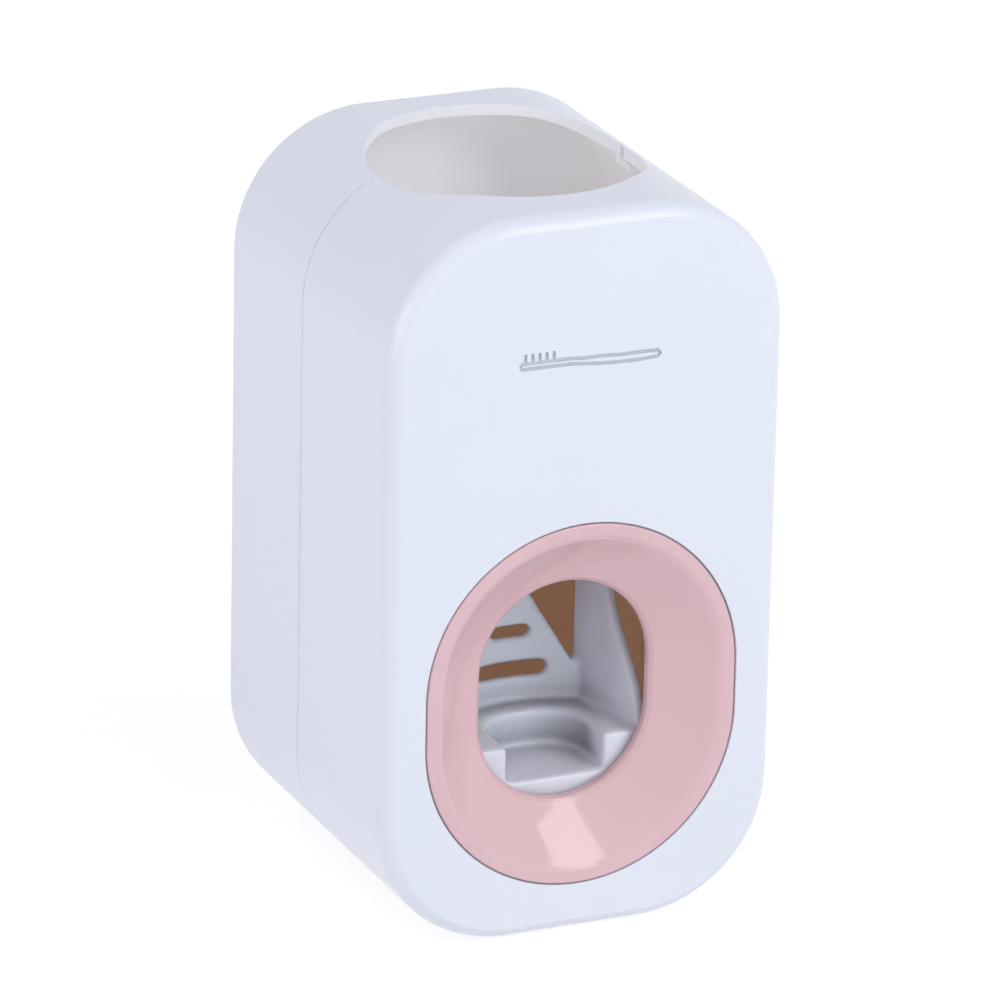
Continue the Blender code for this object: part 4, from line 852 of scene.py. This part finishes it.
lines = [
    [(-14.6, -0.7), (-4.2, -0.75)],
    [(-4.2, -0.75), (-1.5, -1.0), (2.0, -1.35), (6.0, -1.55), (10.5, -1.6), (14.2, -1.35)],
    [(14.2, -1.35), (14.75, -0.75), (14.2, -0.15)],
    [(14.2, -0.15), (10.5, -0.05), (6.0, -0.1), (2.0, 0.15), (-1.5, 0.1), (-4.2, 0.35)],
    [(-4.2, 0.35), (-14.6, 0.4)],
    [(-14.6, 0.4), (-14.95, -0.15), (-14.6, -0.7)],
]
lines += [[(x, 0.4), (x, 2.0)] for x in (-13.9, -12.4, -10.9, -9.4, -7.9)]
boolean(casing_front, "DIFFERENCE", *[sunk(line) for line in lines])


def in_picture(point):
    """Whether a face is a wall or the floor of a sunk line, by its centre."""
    return (
        0.03 * MM < point.y - CORNER.y < LINE_DEPTH + 0.03 * MM
        and abs(point.x) < PICTURE_HALF_WIDE
        and abs(point.z - CORNER.z - PICTURE_MIDDLE) < PICTURE_HALF_HIGH
    )


finish_piece(
    "casing_front", casing_front, WHITE_ABS, "front_cover", "front_shell",
    zones=[(INNER_ABS_PAINTED_GLOW, is_inner), (ENGRAVED_ABS_PAINTED_SHADE, in_picture)],
)

# %% [markdown]
# The rear half is the same sheet with another profile: it carries the lip that slips inside the
# front half and keeps light out of the seam. A block inside its back wall holds the groove that the
# wall plate slides into.

# %% Rear half of the casing
REAR_START = SEAM + SEAM_GAP / 2
REAR_ROUND = 1.6 * MM
BACK_WALL = 2.4 * MM
LIP_FRONT = 41.5 * MM
LIP_ROOT = 47.65 * MM
LIP_OUT = 2.7 * MM
LIP_IN = 3.9 * MM
PLATE_HALF = 23.0 * MM
PLATE_TOP = 76.0 * MM
PLATE_BACK = 81.4 * MM
PLATE_THICKNESS = 3.0 * MM
GAP = 0.3 * MM
RAIL_FRONT = 75.7 * MM
RAIL_HALF = 26.3 * MM
RAIL_TOP = 79.3 * MM
BOSS_RADIUS = 3.2 * MM
BOSS_FRONT = 72.3 * MM
BORE_RADIUS = 1.6 * MM
BORE_END = 76.8 * MM

rear_profile = [(LIP_OUT, LIP_FRONT), (LIP_OUT, REAR_START), (SEAM_ROUND, REAR_START)]
rear_profile += [
    (0, REAR_START + SEAM_ROUND),
    *round_points((REAR_ROUND, DEPTH - REAR_ROUND), REAR_ROUND, 180, 90, 8),
]
BACK_EDGE = [(3.4 * MM, DEPTH), (WALL, DEPTH - BACK_WALL)]
rear_profile += [*BACK_EDGE, (WALL, LIP_ROOT), (LIP_IN, LIP_ROOT), (LIP_IN, LIP_FRONT)]
casing_rear = casing_half(rear_profile, *BACK_EDGE)
for depth in (DEPTH, DEPTH - BACK_WALL):
    fill(casing_rear, depth, True)
rail_way = [roll_place(line, WALL / 2) for line in [0, *score_lines()]]
rail = slab(rail_way, RAIL_FRONT, DEPTH - BACK_WALL / 2, "Y")
rail_plan = [
    (-RAIL_HALF, 70 * MM), (RAIL_HALF, 70 * MM), (RAIL_HALF, DEPTH), (-RAIL_HALF, DEPTH)
]
boolean(rail, "INTERSECT", slab(rail_plan, -1 * MM, RAIL_TOP, "Z"))
screw_spots = [(x * MM, z * MM) for x in (-29, 29) for z in (22, 95)]
boolean(
    casing_rear, "UNION", rail,
    *[rod(BOSS_RADIUS, BOSS_FRONT, DEPTH - BACK_WALL / 2, "Y", spot) for spot in screw_spots],
)
groove_near = PLATE_BACK - PLATE_THICKNESS - GAP
groove_wide = PLATE_HALF + GAP
groove_narrow = groove_wide - 2 * (DEPTH + 1 * MM - groove_near) / 3
groove_plan = [
    (-groove_wide, groove_near), (groove_wide, groove_near),
    (groove_narrow, DEPTH + 1 * MM), (-groove_narrow, DEPTH + 1 * MM),
]
boolean(
    casing_rear, "DIFFERENCE", slab(groove_plan, -1 * MM, PLATE_TOP + GAP, "Z"),
    *[rod(BORE_RADIUS, BOSS_FRONT - 1.3 * MM, BORE_END, "Y", spot) for spot in screw_spots],
)
groove_edges = [
    edge
    for edge in casing_rear.edges
    if len(edge.link_faces) == 2
    and edge.calc_face_angle() > SHARP
    and all(v.co.y > BOSS_FRONT - 0.1 * MM for v in edge.verts)
]
round_edges(casing_rear, groove_edges, 0.25 * MM, 2)
finish_piece(
    "casing_rear", casing_rear, WHITE_ABS, "housing", "rear_shell", zones=[(INNER_ABS_PAINTED_GLOW, is_inner)]
)

# %% [markdown]
# The pink ring is a funnel that leads the toothbrush in. Half of its section is spun about the
# hole's upper centre, drawn straight down to the middle and mirrored.

# %% Pink ring
RING_LIP = 3.0 * MM
LIP_ROUND = 0.5 * MM
HOLE_RADIUS = 18.2 * MM
FUNNEL_START = 0.27 * MM
FUNNEL_DEPTH = 8.2 * MM
FUNNEL_SAG = 0.5 * MM
FUNNEL_STEPS = 24
FUNNEL_ROUND = 1.1 * MM
HOLE_ROUND = 0.9 * MM
RING_WALL = 2.0 * MM
SKIRT_INSET = 1.9 * MM
SKIRT_DEPTH = 5.0 * MM

lip_inner = RING_RADIUS - RING_LIP
skirt = RING_RADIUS - SKIRT_INSET
hole_depth = FUNNEL_DEPTH + HOLE_ROUND
ring_section = soften(
    [(skirt, 1.1 * MM), (RING_RADIUS, 1.1 * MM), (RING_RADIUS, 0), (lip_inner, 0)],
    LIP_ROUND, False, 6,
)[:-1]
funnel = [(lip_inner + 1.9 * MM, 0), (lip_inner + 0.6 * MM, 0.05 * MM)]
for i in range(1, FUNNEL_STEPS + 1):
    share = i / FUNNEL_STEPS
    depth = FUNNEL_START + (FUNNEL_DEPTH - FUNNEL_START) * share
    sag = FUNNEL_SAG * sin(pi * share)
    funnel.append((lip_inner + (HOLE_RADIUS + HOLE_ROUND - lip_inner) * share, depth + sag))
funnel += [
    (HOLE_RADIUS, hole_depth), (HOLE_RADIUS, hole_depth + RING_WALL),
    (HOLE_RADIUS + RING_WALL, hole_depth + RING_WALL), (skirt - RING_WALL, SKIRT_DEPTH),
    (skirt, SKIRT_DEPTH),
]
ring_section += soften(funnel, FUNNEL_ROUND, False, 6)[1:]
ring = bmesh.new()
section = wire(ring, [(radius, depth, 0) for radius, depth in ring_section])
turn = bmesh.ops.spin(
    ring, geom=ring.verts[:] + section, axis=(0, -1, 0), cent=(0, 0, 0), angle=pi,
    steps=STADIUM_STEPS,
)
bmesh.ops.translate(ring, verts=ring.verts, vec=(0, 0, RING_STRAIGHT))
for end in (section, of_kind(turn["geom_last"], bmesh.types.BMEdge)):
    made = of_kind(bmesh.ops.extrude_edge_only(ring, edges=end)["geom"], bmesh.types.BMVert)
    bmesh.ops.translate(ring, verts=made, vec=(0, 0, -RING_STRAIGHT))
bmesh.ops.mirror(
    ring, geom=ring.verts[:] + ring.edges[:] + ring.faces[:], axis="Z",
    matrix=Matrix.Identity(4), merge_dist=0.005 * MM,
)
bmesh.ops.translate(ring, verts=ring.verts, vec=(0, 0, RING_MIDDLE))
finish_piece("ring", ring, PINK_ABS, "front_cover", "front_ring")

# %% [markdown]
# The lever is one moulding. Its parts are joined by Booleans, and then the whole is rebuilt from
# small voxels and smoothed, which rounds every edge and inner corner a little, as a moulder does so
# that the melt flows and the tool lasts.

# %% Lever
PIVOT = (36 * MM, 106.5 * MM)
ROLLER = (14.8 * MM, 95 * MM)
SHELF_TOP = 36.0 * MM
SHELF_LOW = 22.0 * MM
SHELF_ROUND = 4 * MM
NOTCH_DROP = 7.6 * MM
LEVER_FRONT = 11.9 * MM
LEVER_REAR = 34.5 * MM
TONGUE_Y = 31.7 * MM
TONGUE_ROUND = 30.0 * MM
TONGUE_THICK = 2.2 * MM
TONGUE_HALF = 13.9 * MM
TONGUE_SIDE = 42.1 * MM
TONGUE_TOP = 65.7 * MM
TIP_ROUND = 3 * MM
ARM_THICK = 2.5 * MM
ARM_IN = 13.6 * MM
ARM_FRONT = 25.5 * MM
SPRING_HEIGHT = 69.5 * MM
FLARE = tan(radians(13.5))
HUB = 4.7 * MM
VOXEL = 0.42 * MM
ROUNDING = 14
EVENING = 70


def slot_outline(length, width, height):
    """A slot with round ends, in millimetres."""
    half = (length - width) / 2 * MM
    round_end = width / 2 * MM
    return round_points((half, height * MM), round_end, -90, 90, 12) + round_points(
        (-half, height * MM), round_end, 90, 270, 12
    )


lean = mm_points(
    (13.3, 36.0), (13.7, 38.0), (14.3, 40.5), (15.3, 43.5), (16.8, 46.5), (18.6, 49.5),
    (20.4, 52.5), (22.0, 55.5), (23.3, 58.5), (24.3, 61.5), (25.1, 64.0), (25.5, 66.0),
)
lower_outline = [
    (LEVER_FRONT, SHELF_LOW), (LEVER_REAR, SHELF_LOW), (LEVER_REAR, 68.5 * MM),
    (ARM_FRONT, 68.5 * MM), *reversed(lean), (LEVER_FRONT, 35.4 * MM),
]
upper_outline = [
    (ARM_FRONT, 63.5 * MM), (LEVER_REAR, 63.5 * MM), *mm_points((39, 64), (39, 75)),
    *round_points(PIVOT, 5.2 * MM, -10, 130, 20), *round_points(ROLLER, 4.2 * MM, 70, 270, 24),
    (ARM_FRONT, 88.3 * MM),
]
rise = sqrt(TONGUE_ROUND**2 - TONGUE_HALF**2)
tongue_centre = (0, TONGUE_Y - rise)
half_turn = degrees(asin((TONGUE_HALF + ARM_THICK / 2) / TONGUE_ROUND))
tongue_outline = round_points(
    tongue_centre, TONGUE_ROUND, 90 - half_turn, 90 + half_turn, 32
) + round_points(
    tongue_centre, TONGUE_ROUND + TONGUE_THICK, 90 + half_turn, 90 - half_turn, 32
)
wide = TONGUE_HALF + ARM_THICK
taper = atan2(TONGUE_HALF, TONGUE_TOP - TONGUE_SIDE)
tip = (0, TONGUE_TOP - TIP_ROUND / sin(taper))
shoulder = TONGUE_SIDE - ARM_THICK / tan(taper)
tongue_face = [
    (wide, SHELF_LOW), (wide, shoulder),
    *round_points(tip, TIP_ROUND, degrees(taper), 180 - degrees(taper), 16),
    (-wide, shoulder), (-wide, SHELF_LOW),
]
lever_back = TONGUE_Y + TONGUE_ROUND - rise + TONGUE_THICK
shelf_wide = wide + (TONGUE_Y - LEVER_FRONT) * FLARE


def shelf_outline(inset):
    """The shelf from above, drawn in by an inset."""
    centre = (shelf_wide - SHELF_ROUND, LEVER_FRONT + SHELF_ROUND)
    back = lever_back - inset
    right_side = round_points(centre, SHELF_ROUND - inset, -90, 0, 12)
    right_side.append((wide - inset + (TONGUE_Y - back) * FLARE, back))
    return right_side + [(-x, y) for x, y in reversed(right_side)]


def flared_arm(side):
    """The lower half of an arm, which flares outwards towards the front."""
    bm = slab(lower_outline, TONGUE_HALF, wide, "X")
    for vert in bm.verts:
        vert.co.x = side * (vert.co.x + (TONGUE_Y - vert.co.y) * FLARE)
    bmesh.ops.recalc_face_normals(bm, faces=bm.faces)
    return bm


tongue = slab(tongue_outline, SHELF_TOP - 1 * MM, TONGUE_TOP, "Z")
boolean(tongue, "INTERSECT", slab(tongue_face, 0, DEPTH, "Y"))
boolean(
    tongue, "DIFFERENCE",
    *[slab(slot_outline(*slot), 20 * MM, 50 * MM, "Y") for slot in (
        (15.8, 3.0, 42.4), (8.8, 2.3, 50.65)
    )],
)
notch_outline = [
    (10.5 * MM, LEVER_FRONT - 1 * MM),
    *round_points((2.5 * MM, LEVER_FRONT + 9.3 * MM), 8 * MM, 0, 90, 20),
    *round_points((-2.5 * MM, LEVER_FRONT + 9.3 * MM), 8 * MM, 90, 180, 20),
    (-10.5 * MM, LEVER_FRONT - 1 * MM),
]
lever = slab(shelf_outline(0), SHELF_LOW, SHELF_TOP, "Z")
spring_bar = mm_points((34.9, 64), (37.1, 64), (37.1, 75), (34.9, 75))
arm_out = ARM_IN + ARM_THICK
hub_out = arm_out + 0.5 * MM
boolean(
    lever, "UNION", tongue, flared_arm(1), flared_arm(-1),
    slab(upper_outline, ARM_IN, arm_out, "X"), slab(upper_outline, -arm_out, -ARM_IN, "X"),
    slab(spring_bar, -ARM_IN - 1.2 * MM, ARM_IN + 1.2 * MM, "X"),
    rod(2.2 * MM, 36 * MM, 39.8 * MM, "Y", (0, SPRING_HEIGHT)),
    rod(HUB, ARM_IN, hub_out, "X", PIVOT), rod(HUB, -hub_out, -ARM_IN, "X", PIVOT),
)
boolean(
    lever, "DIFFERENCE",
    slab(shelf_outline(2.2 * MM), 0, SHELF_TOP - NOTCH_DROP - 2.2 * MM, "Z"),
    slab(notch_outline, SHELF_TOP - NOTCH_DROP, 2 * SHELF_TOP, "Z"),
    rod(2.3 * MM, -WIDTH, WIDTH, "X", PIVOT), rod(1.8 * MM, -WIDTH, WIDTH, "X", ROLLER),
)
item = work_object(lever)
rebuild = item.modifiers.new("voxels", "REMESH")
rebuild.mode = "VOXEL"
rebuild.voxel_size = VOXEL
take_back(lever, item)
# The first passes round the edges. The pairs after them even the faces out without shrinking.
for factor in [0.5] * ROUNDING + [0.5, -0.5] * EVENING:
    bmesh.ops.smooth_vert(
        lever, verts=lever.verts, factor=factor, use_axis_x=True, use_axis_y=True, use_axis_z=True
    )
finish_piece("lever", lever, LEVER_ABS_PAINTED_SHADE, "lever", "push_lever", crease=180)

# %% [markdown]
# Turned and moulded round pieces share one helper: a closed line of (radius, way) points is spun
# once round an axis. Most of them have their corners rounded first.


# %% Helpers that turn a round piece
def turned(section, axis, centre, steps=96):
    """Spins a closed section of (radius, way) points about an axis through a centre."""
    bm = bmesh.new()
    place = ALONG_AXIS[axis]
    across, up = centre
    if axis == "Z":
        points = [place(across + radius, up, way) for radius, way in section]
    else:
        points = [place(across, up + radius, way) for radius, way in section]
    edges = wire(bm, points)
    bmesh.ops.spin(
        bm, geom=bm.verts[:] + edges, axis=[float(axis == a) for a in "XYZ"],
        cent=place(across, up, 0), angle=2 * pi, steps=steps, use_merge=True,
    )
    loose = [edge for edge in bm.edges if not edge.link_faces]
    bmesh.ops.delete(bm, geom=loose, context="EDGES")
    return bm


def turned_soft(points, rounding, axis, centre, steps=96, least=8):
    """The same from points in millimetres, with corners rounded by some millimetres."""
    return turned(soften(mm_points(*points), rounding * MM, least=least), axis, centre, steps)


PUMP = (0, 30 * MM)

# %% [markdown]
# The gland is a soft grey cup that grips the tube's neck. Silicone parts leave the mould with round
# lips, and three fine beads inside it seal against the neck's thread.

# %% Tube gland
gland = turned_soft((
    (6.3, 110.6), (6.3, 115.6), (13, 115.6), (13, 117.2), (11.1, 117.2), (10.2, 124.1),
    (8.6, 124.1), (7.9, 122.3), (8.0, 121.8), (7.3, 120.5), (7.4, 120.0), (6.6, 118.6),
    (6.0, 117.2), (4.4, 115.6), (4.4, 110.6),
), 0.45, "Z", PUMP)
finish_piece("gland", gland, GREY_SILICONE, "housing", "tube_gland")

# %% [markdown]
# Below it sits a duckbill valve: a soft cup whose lower end is drawn to a flat slit, so that paste
# goes down through it but not back. Its sections are ovals that are extruded one after another.


# %% Inlet valve
def skinned(loops):
    """A closed skin: each loop is extruded from the one before, and the last meets the first."""
    bm = bmesh.new()
    edges = wire(bm, loops[0])
    for here, there in zip(loops, [*loops[1:], loops[0]]):
        index = {tuple(Vector(point)): i for i, point in enumerate(here)}
        made = bmesh.ops.extrude_edge_only(bm, edges=edges)["geom"]
        fresh = of_kind(made, bmesh.types.BMVert)
        for vert in fresh:
            vert.co = there[index[tuple(vert.co)]]
        edges = [
            edge
            for edge in of_kind(made, bmesh.types.BMEdge)
            if all(v in fresh for v in edge.verts)
        ]
    return bm


def oval(wide, thick, height, steps=64):
    """A level loop round the pump's axis, in millimetres."""
    points = []
    for i in range(steps):
        turn = 2 * pi * i / steps
        y = PUMP[1] + thick * MM * sin(turn)
        points.append((wide * MM * cos(turn), y, height * MM))
    return points


INLET = 107.1
inlet_valve = skinned([
    oval(wide, thick, INLET - drop)
    for wide, thick, drop in (
        (6.1, 6.1, 0), (6.3, 6.3, 0.2), (6.3, 6.3, 1.1), (6.1, 6.1, 1.3), (4.6, 4.6, 1.32),
        (4.2, 4.2, 1.7), (4.2, 3.4, 3.6), (4.2, 2.2, 5.6), (4.1, 1.7, 6.95), (3.4, 0.9, 7.0),
        (3.4, 1.4, 5.6), (3.4, 2.6, 3.6), (3.4, 3.4, 1.7), (3.4, 3.4, 0.1),
    )
])
finish_piece("inlet_duckbill", inlet_valve, GREY_SILICONE, "housing", "inlet_valve")

# %% [markdown]
# The sleeve is the pump's soft wall. It's straight where the bands hold it and bulges softly
# between. The real one flattens from the front when the lever's roller presses it; here it keeps
# its round shape.

# %% Pump sleeve
BULGE = 0.45
BULGE_LOW = 85.5
BULGE_HIGH = 104.3
swells = [(0, 81.0), (0, BULGE_LOW)]
for i in range(1, 24):
    swell = BULGE * (1 - cos(2 * pi * i / 24))
    swells.append((swell, BULGE_LOW + (BULGE_HIGH - BULGE_LOW) * i / 24))
swells += [(0, BULGE_HIGH), (0, 112.0)]
sleeve_section = [(10.0 + swell, height) for swell, height in swells]
sleeve_section += [(8.5 + swell, height) for swell, height in reversed(swells)]
sleeve = turned_soft(sleeve_section, 0.35, "Z", PUMP, least=30)
sleeve_piece = finish_piece("sleeve", sleeve, MILKY_SILICONE, "housing", "pump_sleeve")
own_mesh(sleeve_piece)

# %% [markdown]
# Two bands of plated steel hold the sleeve: one above, which is pressed on once, and one below,
# which comes off with the nozzle for cleaning. The nozzle holds a soft slit lip.

# %% Bands, nozzle and its valve
for name, low, node in (("upper_band", 108.1, "sleeve_clamp"), ("lower_band", 81.3, "nozzle_band")):
    band = ((10.3, low), (11.6, low), (11.6, low + 3.6), (10.3, low + 3.6))
    finish_piece(name, turned_soft(band, 0.35, "Z", PUMP), PLATED_STEEL, "housing", node)
nozzle = turned_soft((
    (2.3, 72.3), (3.3, 72.3), (5.4, 79.3), (10, 79.3), (10, 80.7), (8.2, 80.7), (8.2, 85.2),
    (5.4, 85.2), (5.4, 80.7), (2.3, 74.05),
), 0.35, "Z", PUMP)
finish_piece("spout", nozzle, LEVER_ABS_PAINTED_SHADE, "housing", "outlet_nozzle")
outlet_valve = turned_soft((
    (2.3, 85.2), (4.6, 85.2), (4.6, 81.0), (3.1, 80.2), (0.8, 75.45), (0.4, 75.45), (2.3, 81.0),
), 0.2, "Z", PUMP, 48)
finish_piece("outlet_lip", outlet_valve, GREY_SILICONE, "housing", "outlet_valve")

# %% [markdown]
# The return spring is drawn wire. One section is spun up the coil: a close turn at each end, where
# it sits on its posts, and open turns between.

# %% Return spring
COIL = 4.2 * MM
WIRE = 0.35 * MM
COIL_START = 37.75 * MM
COIL_END = 69.35 * MM
CLOSE = 1.5 * MM
TURN_STEPS = 48
spring = bmesh.new()
wire_round = round_points((COIL, COIL_START), WIRE, 0, 330, 11)
section = wire(spring, [(x, y, SPRING_HEIGHT) for x, y in wire_round])
bmesh.ops.contextual_create(spring, geom=section)
for turns, rise in ((1, CLOSE), (7, (COIL_END - COIL_START - 2 * CLOSE) / 7), (1, CLOSE)):
    made = bmesh.ops.spin(
        spring, geom=section, axis=(0, -1, 0), cent=(0, 0, SPRING_HEIGHT),
        dvec=(0, rise / TURN_STEPS, 0), angle=2 * pi * turns, steps=TURN_STEPS * turns,
    )
    section = of_kind(made["geom_last"], bmesh.types.BMEdge)
bmesh.ops.contextual_create(spring, geom=section)
spring_piece = finish_piece("spring", spring, SPRING_STEEL, "housing", "return_spring")
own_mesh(spring_piece)

# %% [markdown]
# The small hardware is turned or pressed steel with broken edges, and the screws have a cross
# recess that a punch has driven in.


# %% Screws
def screw(place, down):
    """A pan-head screw with its head's seat at a place; its shank points down or to the back."""
    head = mm_points(
        (0, 6.5), (0.7, 6.5), (1.3, 5.9), (1.3, 0), (2.6, 0), (2.6, -0.7), (2.45, -1.15),
        (2.0, -1.5), (1.3, -1.68), (0, -1.7),
    )
    bm = turned(head, "Z", (0, 0), 48)
    bmesh.ops.remove_doubles(bm, verts=bm.verts, dist=2 * MERGE)
    bmesh.ops.recalc_face_normals(bm, faces=bm.faces)
    bars = []
    for turn in (0, pi / 2):
        bar = bmesh.new()
        bmesh.ops.create_cube(bar, size=1)
        bmesh.ops.scale(bar, verts=bar.verts, vec=(3.4 * MM, 0.7 * MM, 2 * MM))
        for vert in bar.verts:
            if vert.co.z > 0:
                vert.co.x *= 0.55
                vert.co.y *= 0.7
        bmesh.ops.translate(bar, verts=bar.verts, vec=(0, 0, -1.9 * MM))
        bmesh.ops.rotate(bar, verts=bar.verts, matrix=Matrix.Rotation(turn, 3, "Z"))
        bars.append(bar)
    boolean(bm, "DIFFERENCE", *bars)
    way = Vector((0, 0, -1)) if down else Vector((0, 1, 0))
    turn = Vector((0, 0, 1)).rotation_difference(way).to_matrix().to_4x4()
    bmesh.ops.transform(bm, matrix=Matrix.Translation(place) @ turn, verts=bm.verts)
    return bm


back_seats = [(x, 69.7 * MM, z) for x, z in screw_spots]
top_seats = [(x * MM, y * MM, 115.6 * MM) for x in (-31, 31) for y in (51.5, 66.5)]
for place, held, seats in (("back", "chassis", back_seats), ("top", "carrier", top_seats)):
    for number, seat in enumerate(seats, 1):
        finish_piece(
            f"{place}_screw_{number}", screw(seat, place == "top"), PLATED_STEEL, "housing",
            f"{held}_screw_{number}", crease=30,
        )

# %% [markdown]
# The lever turns on two headed stub pins, each held by a push-on clip, and its roller runs on a
# plain axle.

# %% Pins, clips and roller
PIN = ((0, 11.8), (2, 11.8), (2, 20.2), (3.7, 20.2), (3.7, 21.2), (0, 21.2))
CLIP = ((2.3, 13.3), (4, 13.3), (4, 12.3), (2.3, 12.3))
for side, label in ((-1, "left"), (1, "right")):
    pin_points, clip_points = ([(r, side * way) for r, way in line] for line in (PIN, CLIP))
    pin = turned_soft(pin_points, 0.25, "X", PIVOT, 48, 30)
    finish_piece(f"pin_{label}", pin, PLATED_STEEL, "housing", f"pivot_pin_{label}")
    clip = turned_soft(clip_points, 0.2, "X", PIVOT, 48)
    finish_piece(f"clip_{label}", clip, PLATED_STEEL, "housing", f"pin_clip_{label}")
axle = turned_soft(((0, -16.5), (1.5, -16.5), (1.5, 16.5), (0, 16.5)), 0.3, "X", ROLLER, 48)
finish_piece("axle", axle, PLATED_STEEL, "lever", "roller_pin")
roller = turned_soft(((1.8, -13.3), (4, -13.3), (4, 13.3), (1.8, 13.3)), 0.5, "X", ROLLER)
finish_piece("roller", roller, ACETAL, "roller", "presser_roller")

# %% [markdown]
# Two soft blocks on the bracket's stops catch the lever when it comes back. The pad that holds the
# whole to the wall is foam tape, cut with round corners.

# %% Bumpers and pad
for side, label in ((-1, "left"), (1, "right")):
    bumper = bmesh.new()
    bmesh.ops.create_cube(bumper, size=1)
    size = Vector((2.5, 2.5, 3.9)) * MM
    middle = Vector((side * 14.85, 23.95, 82.25)) * MM
    bmesh.ops.transform(
        bumper, matrix=Matrix.Translation(middle) @ Matrix.Diagonal((*size, 1)), verts=bumper.verts
    )
    round_edges(bumper, bumper.edges[:], 0.5 * MM, 4)
    finish_piece(f"bumper_{label}", bumper, GREY_SILICONE, "housing", f"lever_bumper_{label}")
pad_way = []
for x, z, start in ((14, 69, 0), (-14, 69, 90), (-14, 21, 180), (14, 21, 270)):
    pad_way += round_points((x * MM, z * MM), 4 * MM, start, start + 90, 10)
pad = slab(pad_way, 81.7 * MM, 82.5 * MM, "Y")
finish_piece("foam_pad", pad, FOAM_TAPE, "wall_mount", "adhesive_pad")

# %% [markdown]
# The inner frame, the pump's bracket and the wall plate keep the model's own shape. Their meshes
# are copied and merged, and their edges are broken by a small live bevel, as a toolmaker polishes
# them.


# %% Inner mouldings
def carried_over(node, name, material, body):
    """A CAD node's own shape as a piece with broken edges."""
    source = bpy.data.objects[node]
    bm = bmesh.new()
    bm.from_mesh(source.data)
    bmesh.ops.transform(
        bm, matrix=Matrix.Translation(-CORNER) @ source.matrix_world, verts=bm.verts
    )
    bmesh.ops.remove_doubles(bm, verts=bm.verts, dist=2 * MERGE)
    bmesh.ops.dissolve_limit(
        bm, angle_limit=radians(1), verts=bm.verts[:], edges=bm.edges[:], delimit={"NORMAL"}
    )
    item = finish_piece(name, bm, material, body, node)
    broken = item.modifiers.new("broken_edges", "BEVEL")
    broken.width = 0.3 * MM
    broken.segments = 3
    broken.limit_method = "ANGLE"
    broken.angle_limit = radians(40)
    # The bevel comes before the weighted normals.
    item.modifiers.move(1, 0)


carried_over("mechanism_chassis", "inner_frame", BROWN_ABS_PAINTED_GLOW, "housing")
carried_over("pump_carrier", "pump_bracket", LEVER_ABS_PAINTED_SHADE, "housing")
carried_over("wall_plate", "slide_plate", WHITE_ABS, "wall_mount")
